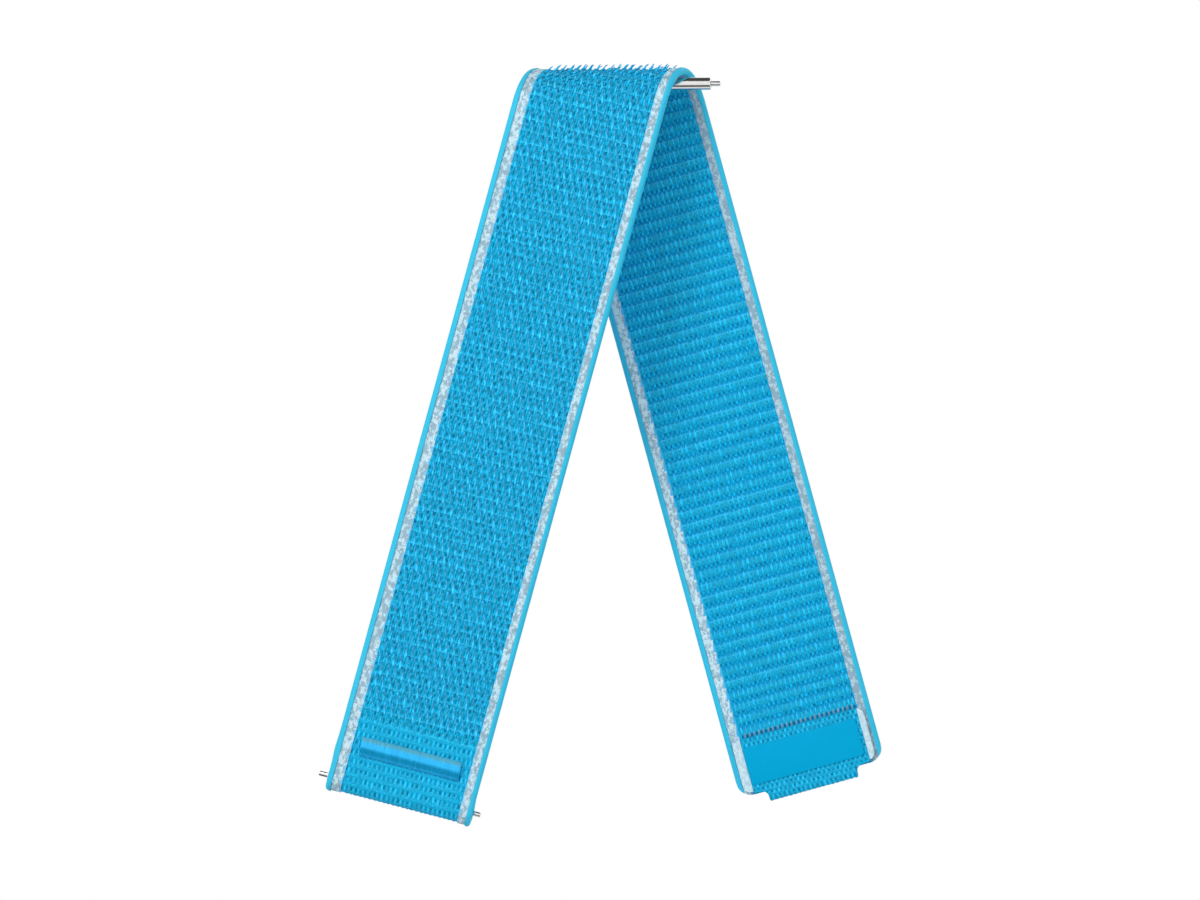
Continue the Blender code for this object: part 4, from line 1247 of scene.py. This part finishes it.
class STRAP_OT_knit(StrapOperator, bpy.types.Operator):
    """Lays the low floats of the bare stretches: at the sewn loop, and at and over the turned-back end"""

    bl_idname = "strap.knit"
    bl_label = "Lay the flat knit"

    def build(self, ribbon):
        yarns, end = Strewn(ribbon, unit_yarn("knit", 6, 6)), ribbon.web.rear_length
        for low, high, ratio in ((0.0007 - ribbon.loop_end, ribbon.bare_front - 0.0004, KNIT_RATIO),
                                 (ribbon.bare_rear + 0.0005, end - 0.0009, KNIT_RATIO),
                                 (end + 0.0005, end + ribbon.flap.total - 0.00035, FLAP_RATIO)):
            for row in ribbon.rows(low, high, ratio):
                self.add_row(yarns, ribbon, row, ratio)
        yarns.build("knit_yarns", "knit_yarn", "strap_weave")

    def add_row(self, yarns, ribbon, row, ratio):
        """One row of short yarns on every other thread, smaller where the rows lie closer."""
        thread, small = ribbon.weave.thread, KNIT_RATIO / ratio
        wide, long, rise = KNIT_YARN * (small ** 0.15, small ** 0.7, 1.0)
        y = ribbon.y_of_row(row / ratio)
        past = y - ribbon.web.rear_length
        half, ground = ribbon.field_half, ribbon.field_face
        if past > 0:
            near = past + 0.8 * long * np.array((-1.0, 0.0, 1.0))
            half = {side: float(ribbon.flap_half(near, side).min()) for side in half}
            ground = ribbon.ends.ply / 2
        for column in columns(ribbon, 1):
            x = column * thread
            if (column + row) % 2 or abs(x) > half[LEFT if x < 0 else RIGHT] - 0.5 * thread:
                continue
            shaped = yarns.unit * (wide * yarns.uneven(0.2), long * yarns.uneven(0.14), rise)
            middle = (x + yarns.jitter(0.00006), y + yarns.jitter(0.00009), ground + WOVEN_GAP)
            yarns.put(shaped, middle, yarns.jitter(0.14))


class STRAP_OT_bands(StrapOperator, bpy.types.Operator):
    """Weaves the silver bands and the smooth selvedges on both sides"""

    bl_idname = "strap.bands"
    bl_label = "Weave the bands and selvedges"

    def build(self, ribbon):
        spans = [*stretches(ribbon), ("loop", -ribbon.loop_end, -ribbon.bar_axis)]
        for side, word in SIDES:
            silver, selvedge = ribbon.silver_start[side], ribbon.selvedge_start[side]
            for part, start, end, gap, faces in (
                    ("reflective", silver, selvedge, WOVEN_GAP, self.silver_faces),
                    ("selvedge", selvedge, ribbon.half, 0.0, self.selvedge_faces)):
                edges = sorted((side * (start + WOVEN_GAP), side * (end - gap)))
                for stretch, low, high in spans:
                    zone = FRONT_END if stretch == "loop" else stretch
                    bm = grid(*edges, low, high, 6, BEND_STEP)
                    if stretch != "loop":
                        trim(bm, ribbon, zone)
                    node = f"{stretch.split('_')[0]}_{part}_{word}"
                    material = "reflective_yarn" if part == "reflective" else "selvedge"
                    add_slab(ribbon, f"{stretch}_{part}_{word}", zone, bm, faces(ribbon, start, end),
                             [material], f"{part}_yarn", () if stretch == REAR_FOLD else (node,),
                             squeeze=self.rounded_end(ribbon), band=(start, end))

    def rounded_end(self, ribbon):
        """Draws the last rows in towards the free end's rounded corners."""
        end, corner = ribbon.web.rear_length, ribbon.web.corner

        def squeeze(x, y):
            beyond = np.clip(np.abs(x) - (ribbon.half - corner), 0.0, corner)
            recess = corner - np.sqrt(corner ** 2 - beyond ** 2)
            return y - recess * np.clip((y - end) / CORNER_REACH + 1.0, 0.0, 1.0)
        return squeeze

    def silver_faces(self, ribbon, start, end):
        def bulge(x, y, phase):
            share = np.clip((np.abs(x) - start) / (end - start), 0.0, 1.0)
            bead = 0.5 + 0.5 * np.cos(math.tau * (ribbon.row_at(y) + phase))
            return ribbon.silver_face - BEAD_DROP + BEAD_SWELL * bead * np.sin(math.pi * share)
        return (lambda x, y: bulge(x, y, 0.0)), (lambda x, y: -bulge(x, y, CREST_PHASE))

    def selvedge_faces(self, ribbon, start, end):
        def face(x, y):
            share = np.clip((np.abs(x) - start) / (end - start), 0.0, 1.0)
            return ribbon.half_thickness * np.sqrt(np.clip(1 - 0.93 * share ** 2.6, 0.0, 1.0))
        return face, (lambda x, y: -face(x, y))


class STRAP_OT_bar_tack(StrapOperator, bpy.types.Operator):
    """Sews the satin bar-tack that closes the loop"""

    bl_idname = "strap.bar_tack"
    bl_label = "Sew the bar-tack"

    def build(self, ribbon):
        ends, seat = ribbon.ends, ribbon.field_face
        middle_y = ends.tack_from_bar - ribbon.bar_axis
        half_long, half_wide = ends.tack_length / 2, ends.tack_width / 2

        def dome(past):
            """The tack's height, that far along the strap from its middle."""
            share = np.clip(np.abs(past) / half_wide, 0.0, 1.0)
            return ends.tack_height * (TACK_RIM + (1.0 - TACK_RIM) * np.sqrt(1 - share ** 2.4))

        edge, reach = half_long - FILLING_SHORT, FILLING_WIDE * half_wide
        bm = grid(-edge, edge, middle_y - reach, middle_y + reach, 30, 0.00014)
        thicken(bm)
        smooth(bm, BAND_SMOOTH)
        x, y, z = flat_places(bm).T
        places = triples(x + TACK_SHIFT, y, np.where(z > 0, seat + FILLING_HIGH * dome(y - middle_y), seat))
        add_piece("tack_filling", bm, ribbon.lay(places), ["tack_thread"], "sewing_thread",
                  ["loop_bar_tack"], "front_leg", yarn=triples(0.0, (y - middle_y) / ends.tack_width + 0.5))

        threads = Strewn(ribbon, unit_yarn("tack_thread", 8, 14))
        u, v, w = threads.unit.T
        blunt = (1 - np.abs(2 * v) ** 8) ** 0.5 / np.maximum((1 - (2 * v) ** 2) ** 0.5, 0.05)
        count = int(ends.tack_length / ends.tack_thread)
        for k in range(count + 1):
            x = TACK_SHIFT - half_long + k * ends.tack_length / count
            y = v * ends.tack_width * threads.uneven(0.04)
            wide = ends.tack_thread * (TACK_OVERLAP + threads.jitter(0.15))
            shaped = triples(u * wide * blunt + y * (TACK_SLANT + threads.jitter(0.03)), y,
                             w * TACK_RISE * blunt + TACK_CROWN * dome(y))
            threads.put(shaped, (x, middle_y + threads.jitter(0.00004), seat + threads.jitter(0.00002)))
        threads.build("tack_threads", "tack_thread", "sewing_thread", ["loop_bar_tack"])


class STRAP_OT_free_end(StrapOperator, bpy.types.Operator):
    """Turns the end back over the ribbed side, with its side strips and row of stitches"""

    bl_idname = "strap.free_end"
    bl_label = "Turn back the free end"

    def build(self, ribbon):
        end = ribbon.web.rear_length
        bm = grid(-1.0, 1.0, end + SEWN_GAP, end + ribbon.flap.total, FIELD_COLUMNS, FLAP_STEP)
        thicken(bm)
        smooth(bm)
        x, y, z = flat_places(bm).T
        half = np.where(x < 0, *(ribbon.flap_half(y - end, side) for side, word in SIDES))
        places = triples(x * half, y, z * ribbon.ends.ply)
        woven = ribbon.woven(places) * (1.0, FLAP_RATIO / KNIT_RATIO, 1.0)
        add_piece("tail_webbing", bm, ribbon.lay(places), ["knit_ground"], "strap_weave",
                  ["tail_turned_back"], "rear_leg", weave=woven)
        for side, word in SIDES:
            self.add_side_strip(ribbon, side, word)
        self.add_stitches(ribbon)

    def add_side_strip(self, ribbon, side, word):
        """A silver strip beside the turned-back end, rounded at its outer corners."""
        web, ends, level = ribbon.web, ribbon.ends, ribbon.flap_face
        start, end = ribbon.field_half[side] + SEWN_GAP, ends.flap_width / 2
        bm = grid(0.0, 1.0, 0.0, 1.0, 10, 1 / 40)
        thicken(bm)
        smooth(bm)
        share, run, z = flat_places(bm).T
        share = 1 - share if side == LEFT else share
        x = start + share * (end - start)
        beyond = np.clip(x - (end - ends.flap_corner), 0.0, ends.flap_corner)
        recess = ends.flap_corner - np.sqrt(np.maximum(ends.flap_corner ** 2 - beyond ** 2, 0.0))
        low, high = web.rear_length - ends.flap_length + recess, web.rear_length - ends.flap_foot - recess
        rim = rises(share, 1.0, 0.86) * 0.5 + 0.5
        outer = level - ends.ply * (0.72 + 0.28 * rim)
        places = triples(side * x, low + run * (high - low), np.where(z > 0, level, outer))
        woven = ribbon.woven(places)
        woven[:, 2] = STRIP_LEVEL
        add_piece(f"tail_reflective_strip_{word}", bm, ribbon.lay(places), ["reflective_yarn"],
                  "reflective_yarn", [f"tail_reflective_{word}"], "rear_leg", weave=woven,
                  band=triples(0.4 + 0.6 * share))

    def add_stitches(self, ribbon):
        """Stitches on every other thread, with a dark piece of painted shade in the hole beside each."""
        ends, thread = ribbon.ends, ribbon.weave.thread
        stitches = Strewn(ribbon, unit_yarn("stitch", 7, 7))
        holes = Strewn(ribbon, unit_yarn("hole", 6, 5), lambda x, y, z: 1.0)
        y = ribbon.web.rear_length - ends.stitch_from_end
        for column in columns(ribbon):
            x = column * thread
            if not ribbon.inside(x, 0.5 * thread):
                continue
            if column % 2:
                holes.put(holes.unit * (HOLE_WIDTH, ends.stitch * 0.52, HOLE_RISE), (x, y, -ribbon.crest))
                continue
            wide, long = ends.stitch_width * stitches.uneven(0.12), ends.stitch * stitches.uneven(0.12)
            middle = (x + stitches.jitter(0.00004), y, -(ribbon.crest + YARN_STEP))
            lean = STITCH_LEAN + stitches.jitter(0.1)
            stitches.put(stitches.unit * (wide, long, STITCH_RISE), middle, lean)
        stitches.build("tail_stitches", "stitch_thread", "sewing_thread", ["tail_stitch_row"])
        holes.build("tail_stitch_hole_shades", "hole_yarn", "strap_weave")


class STRAP_OT_label(StrapOperator, bpy.types.Operator):
    """Bonds the smooth, bare panel to the turned-back end"""

    bl_idname = "strap.label"
    bl_label = "Bond the panel"

    def build(self, ribbon):
        ends = ribbon.ends
        size = (ends.label_width, ends.label_height, ends.label_thickness)
        bm = rounded_plate(size, ends.label_corner, LABEL_RIM)
        middle = (0.0, ribbon.web.rear_length - ends.label_from_end - ends.label_height / 2,
                  ribbon.flap_face - ends.ply - LABEL_GAP - ends.label_thickness / 2)
        add_plate(ribbon, "tail_label", bm, middle, "label_film", "tail_label_panel")


class STRAP_OT_hook_pad(StrapOperator, bpy.types.Operator):
    """Bonds the hook pad, with its small hooks, to the hidden side of the free end"""

    bl_idname = "strap.hook_pad"
    bl_label = "Bond the hook pad"

    def build(self, ribbon):
        ends = ribbon.ends
        seat, base = ribbon.field_face + SEWN_GAP, BACKING_SHARE * ends.pad_thickness
        bm = rounded_plate((ends.pad_width, ends.pad_length, base), ends.pad_corner, PAD_RIM)
        middle_y = ribbon.web.rear_length - ends.pad_from_end - ends.pad_length / 2
        add_plate(ribbon, "tail_hook_pad_backing", bm, (0.0, middle_y, seat + base / 2), "hook_tape",
                  "tail_hook_pad")
        hooks = Strewn(ribbon, unit_tube("small_hook", 6), lambda x, y, z: z)
        across, along = (int((side - PAD_MARGIN) / ends.pad_pitch)
                         for side in (ends.pad_width, ends.pad_length))
        shaped = bent(hooks.unit, 1.45 * (ends.pad_thickness - base), *HOOK_WIDTHS, HOOK_START, HOOK_END)
        for k in range(across + 1):
            for j in range(along + 1):
                x, y = (k - across / 2) * ends.pad_pitch, middle_y + (j - along / 2) * ends.pad_pitch
                lean = math.pi * ((k + j) % 2) + hooks.jitter(0.1)
                hooks.put(shaped, (x, y, seat + base - WOVEN_GAP), lean)
        hooks.build("tail_hooks", "hook_tape", "hook_tape", ["tail_hook_pad"])


def rounded_plate(size, corner, rim):
    """A flat plate with rounded corners and softened rims, about its middle."""
    bm = bmesh.new()
    bmesh.ops.create_cube(bm, size=1.0, matrix=Matrix.Diagonal((*size, 1.0)))
    upright = [edge for edge in bm.edges if abs((edge.verts[0].co - edge.verts[1].co).z) > size[2] / 2]
    bmesh.ops.bevel(bm, geom=upright, offset=corner, affect="EDGES", segments=8, profile=0.5, material=-1)
    rims = [edge for edge in bm.edges if len(edge.link_faces) == 2 and edge.calc_face_angle(0.0) > 1.0]
    bmesh.ops.bevel(bm, geom=rims, offset=rim, affect="EDGES", segments=2, profile=0.5, material=-1)
    smooth(bm, PLATE_SMOOTH)
    return bm


def add_plate(ribbon, name, bm, middle, material, node):
    """A plate on the rear leg."""
    places = ribbon.lay(flat_places(bm) + np.array(middle))
    add_piece(name, bm, places, [material], material, [node], "rear_leg")


class STRAP_OT_spring_bars(StrapOperator, bpy.types.Operator):
    """Turns the tubes and tips of both spring bars and finishes the coil springs inside them"""

    bl_idname = "strap.spring_bars"
    bl_label = "Turn the spring bars"

    def build(self, ribbon):
        """Profiles are (place along the bar, radius) points."""
        bars = ribbon.bars
        end, hole = bars.tube / 2, bars.tip_radius + bars.clearance
        wall = end - bars.end_wall
        outside = [(end, hole), *self.rounded((end, bars.radius), bars.chamfer)]
        inside = [(-wall, hole), (-wall, bars.bore), (wall, bars.bore), (wall, hole)]
        tube = outside + [(-x, radius) for x, radius in reversed(outside)] + inside
        shoulder, plunger = wall - bars.shoulder_gap, bars.bore - bars.clearance
        foot, reach = shoulder - bars.plunger, end + bars.tip_reach
        tip = [(foot, 0.0), (foot, plunger - bars.tip_chamfer), (foot + bars.tip_chamfer, plunger),
               (shoulder, plunger), (shoulder, bars.tip_radius),
               *self.rounded((reach, bars.tip_radius), bars.tip_chamfer)[::-1], (reach, 0.0)]
        for prefix, place in (("loose", Matrix.Identity(4)), ("sewn", ribbon.bar_frame())):
            self.add_turned(f"{prefix}_bar_tube", tube, True, place, f"{prefix}_bar")
            for side, word in SIDES:
                profile = [(side * x, radius) for x, radius in tip]
                self.add_turned(f"{prefix}_bar_tip_{word}", profile, False, place,
                                f"{prefix}_tip_{word}")
                self.add_coil(bars, prefix, side, word, place, foot - bars.wire_gap)

    def rounded(self, corner, size):
        """Points round a small shoulder, from the bar's end face to its side."""
        turns = [math.pi / 2 * k / SHOULDER_STEPS for k in range(SHOULDER_STEPS + 1)]
        return [(corner[0] - size * (1 - math.cos(turn)), corner[1] - size * (1 - math.sin(turn)))
                for turn in turns]

    def add_coil(self, bars, prefix, side, word, place, end):
        """Half of a coil spring, from its middle to a plunger."""
        reach, steps = bars.bore - bars.wire_gap - bars.wire, bars.curls * COIL_SEGMENTS
        bm = bmesh.new()
        upright = Matrix.Translation((0.0, 0.0, reach)) @ Matrix.Rotation(math.pi / 2, 4, "X")
        bmesh.ops.create_circle(bm, cap_ends=False, radius=bars.wire, segments=WIRE_SEGMENTS, matrix=upright)
        bmesh.ops.spin(bm, geom=bm.verts[:] + bm.edges[:], cent=(0.0, 0.0, 0.0), axis=(1.0, 0.0, 0.0),
                       dvec=(side * (end - bars.wire) / steps, 0.0, 0.0), angle=side * math.tau * bars.curls,
                       steps=steps)
        bmesh.ops.holes_fill(bm, edges=[edge for edge in bm.edges if edge.is_boundary])
        made = self.add_lathed(f"{prefix}_bar_coil_{word}", bm, FIELD_SMOOTH, place, "spring_steel",
                               f"{prefix}_bar_spring", f"{prefix}_bar")
        place.to_3x3() @ Vector((1.0, 0.0, 0.0))
        1.0 - bars.press / end
        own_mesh(made)

    def add_turned(self, node, profile, closed, place, body):
        """A profile turned about the bar's axis."""
        bm = bmesh.new()
        verts = [bm.verts.new((x, 0.0, radius)) for x, radius in profile]
        pairs = list(zip(verts, verts[1:])) + ([(verts[-1], verts[0])] if closed else [])
        edges = [bm.edges.new(pair) for pair in pairs]
        bmesh.ops.spin(bm, geom=verts + edges, cent=(0.0, 0.0, 0.0), axis=(1.0, 0.0, 0.0), steps=BAR_SEGMENTS,
                       angle=math.tau, use_merge=True)
        bmesh.ops.remove_doubles(bm, verts=bm.verts[:], dist=1e-8)
        self.add_lathed(f"{node}_turned", bm, TURNED_SMOOTH, place, "polished_steel", node, body)

    def add_lathed(self, name, bm, limit, place, metal, node, body):
        """A piece round the bar's axis, put in the bar's place."""
        bmesh.ops.recalc_face_normals(bm, faces=bm.faces[:])
        smooth(bm, limit)
        x, y, z = flat_places(bm).T
        lathe = triples(x * 1000, np.arctan2(y, z), np.hypot(y, z) * 1000)
        bm.transform(place)
        return add_piece(name, bm, flat_places(bm), [metal], metal, [node], body, lathe=lathe)


class STRAP_OT_stage(bpy.types.Operator):
    """Sets the floor, the soft lights, the white backdrop and the camera"""

    bl_idname = "strap.stage"
    bl_label = "Set the stage"
    bl_options = {"REGISTER", "UNDO"}

    def execute(self, context):
        stage = context.scene.strap_stage
        self.add_floor(stage)
        self.add_world(context, stage)
        self.add_lights(context, stage)
        self.add_camera(context, stage)
        context.scene.view_settings.view_transform = "Standard"
        return {"FINISHED"}

    def add_floor(self, stage):
        bm = bmesh.new()
        place = Matrix.Translation((0.0, 0.0, -stage.floor_drop))
        bmesh.ops.create_grid(bm, x_segments=1, y_segments=1, size=FLOOR_WIDTH / 2, matrix=place)
        floor = add_object("studio_floor", bm, flat_places(bm), ["studio_floor"])
        floor.visible_glossy = False

    def add_world(self, context, stage):
        """White behind the strap; as its light, a band bright at eye level and dark above and below."""
        world = bpy.data.worlds.new("studio")
        context.scene.world = world
        world.use_nodes = True
        tree = world.node_tree
        tree.nodes.clear()
        output, white, dome, chosen, place, height, band, spread, seen = (
            tree.nodes.new("ShaderNode" + kind) for kind in
            ("OutputWorld", "Background", "Background", "MixShader", "TexCoord", "SeparateXYZ", "ValToRGB",
             "MapRange", "LightPath"))
        white.inputs["Color"].default_value = (1.0, 1.0, 1.0, 1.0)
        dome.inputs["Strength"].default_value = stage.dome
        spread.inputs["From Min"].default_value = -1.0
        stops = band.color_ramp.elements
        stops.remove(stops[1])
        stops[0].position = SKY[0][0]
        for k, (position, level) in enumerate(SKY):
            (stops.new(position) if k else stops[0]).color = (level, level, level, 1.0)
        for source, target in ((place.outputs["Generated"], height.inputs[0]),
                               (height.outputs["Z"], spread.inputs["Value"]),
                               (spread.outputs["Result"], band.inputs["Fac"]),
                               (band.outputs["Color"], dome.inputs["Color"]),
                               (seen.outputs["Is Camera Ray"], chosen.inputs["Fac"]),
                               (dome.outputs["Background"], chosen.inputs[1]),
                               (white.outputs["Background"], chosen.inputs[2]),
                               (chosen.outputs["Shader"], output.inputs["Surface"])):
            tree.links.new(source, target)

    def add_lights(self, context, stage):
        """A soft key from the upper left, a weaker fill from the right and a little light from behind."""
        for name, place, size, share in LAMPS:
            lamp = bpy.data.lights.new(name, "AREA")
            lamp.shape, lamp.size, lamp.energy = "DISK", size, share * stage.key
            holder = bpy.data.objects.new(name, lamp)
            holder.location = place
            holder.rotation_euler = (Vector(place) - Vector(LIT_PLACE)).to_track_quat("Z", "Y").to_euler()
            holder.visible_camera = False
            context.scene.collection.objects.link(holder)

    def add_camera(self, context, stage):
        """An even, parallel view, whose middle lies where the photograph's middle does."""
        az, el = stage.azimuth, stage.elevation
        right = Vector((math.cos(az), math.sin(az), 0.0))
        up = Vector((-math.sin(az) * math.sin(el), math.cos(az) * math.sin(el), math.cos(el)))
        back = Vector((math.sin(az) * math.cos(el), -math.cos(az) * math.cos(el), math.sin(el)))
        pixel, crown = stage.frame_width / PHOTO_WIDTH, Vector(Ribbon(context.scene).centre)
        across, over = (PHOTO_WIDTH / 2 - CROWN_ACROSS) * pixel, (CROWN_DOWN - PHOTO_HEIGHT / 2) * pixel
        data = bpy.data.cameras.new("camera")
        data.type, data.ortho_scale = "ORTHO", stage.frame_width
        camera = bpy.data.objects.new("camera", data)
        camera.location = crown + right * across + up * over + back * stage.distance
        camera.rotation_mode = "QUATERNION"
        camera.rotation_quaternion = (-back).to_track_quat("-Z", "Y")
        data.clip_start, data.clip_end = 0.001, 10.0
        context.scene.collection.objects.link(camera)
        context.scene.camera = camera


STEPS = (STRAP_OT_ground, STRAP_OT_looped_side, STRAP_OT_ribbed_side, STRAP_OT_knit, STRAP_OT_bands,
         STRAP_OT_bar_tack, STRAP_OT_free_end, STRAP_OT_label, STRAP_OT_hook_pad, STRAP_OT_spring_bars,
         STRAP_OT_stage)


class STRAP_PT_panel(bpy.types.Panel):
    """Lists the strap's steps and settings in the 3D view's sidebar"""

    bl_idname = "STRAP_PT_panel"
    bl_label = "Woven watch strap"
    bl_space_type = "VIEW_3D"
    bl_region_type = "UI"
    bl_category = "Strap"

    def draw(self, context):
        for step in STEPS:
            self.layout.operator(step.bl_idname)
        for group in GROUPS:
            box = self.layout.box()
            settings = getattr(context.scene, group)
            for name in settings.bl_rna.properties.keys():
                if name not in ("name", "rna_type"):
                    box.prop(settings, name, text=name.replace("_", " ").capitalize())


def register():
    for kind in (*GROUPS.values(), *STEPS, STRAP_PT_panel):
        bpy.utils.register_class(kind)
    for name, kind in GROUPS.items():
        setattr(bpy.types.Scene, name, PointerProperty(type=kind))


def unregister():
    for name in GROUPS:
        delattr(bpy.types.Scene, name)
    for kind in reversed((*GROUPS.values(), *STEPS, STRAP_PT_panel)):
        bpy.utils.unregister_class(kind)


def main():
    register()
    for step in STEPS:
        group, name = step.bl_idname.split(".")
        getattr(getattr(bpy.ops, group), name)()


if __name__ == "__main__":
    main()
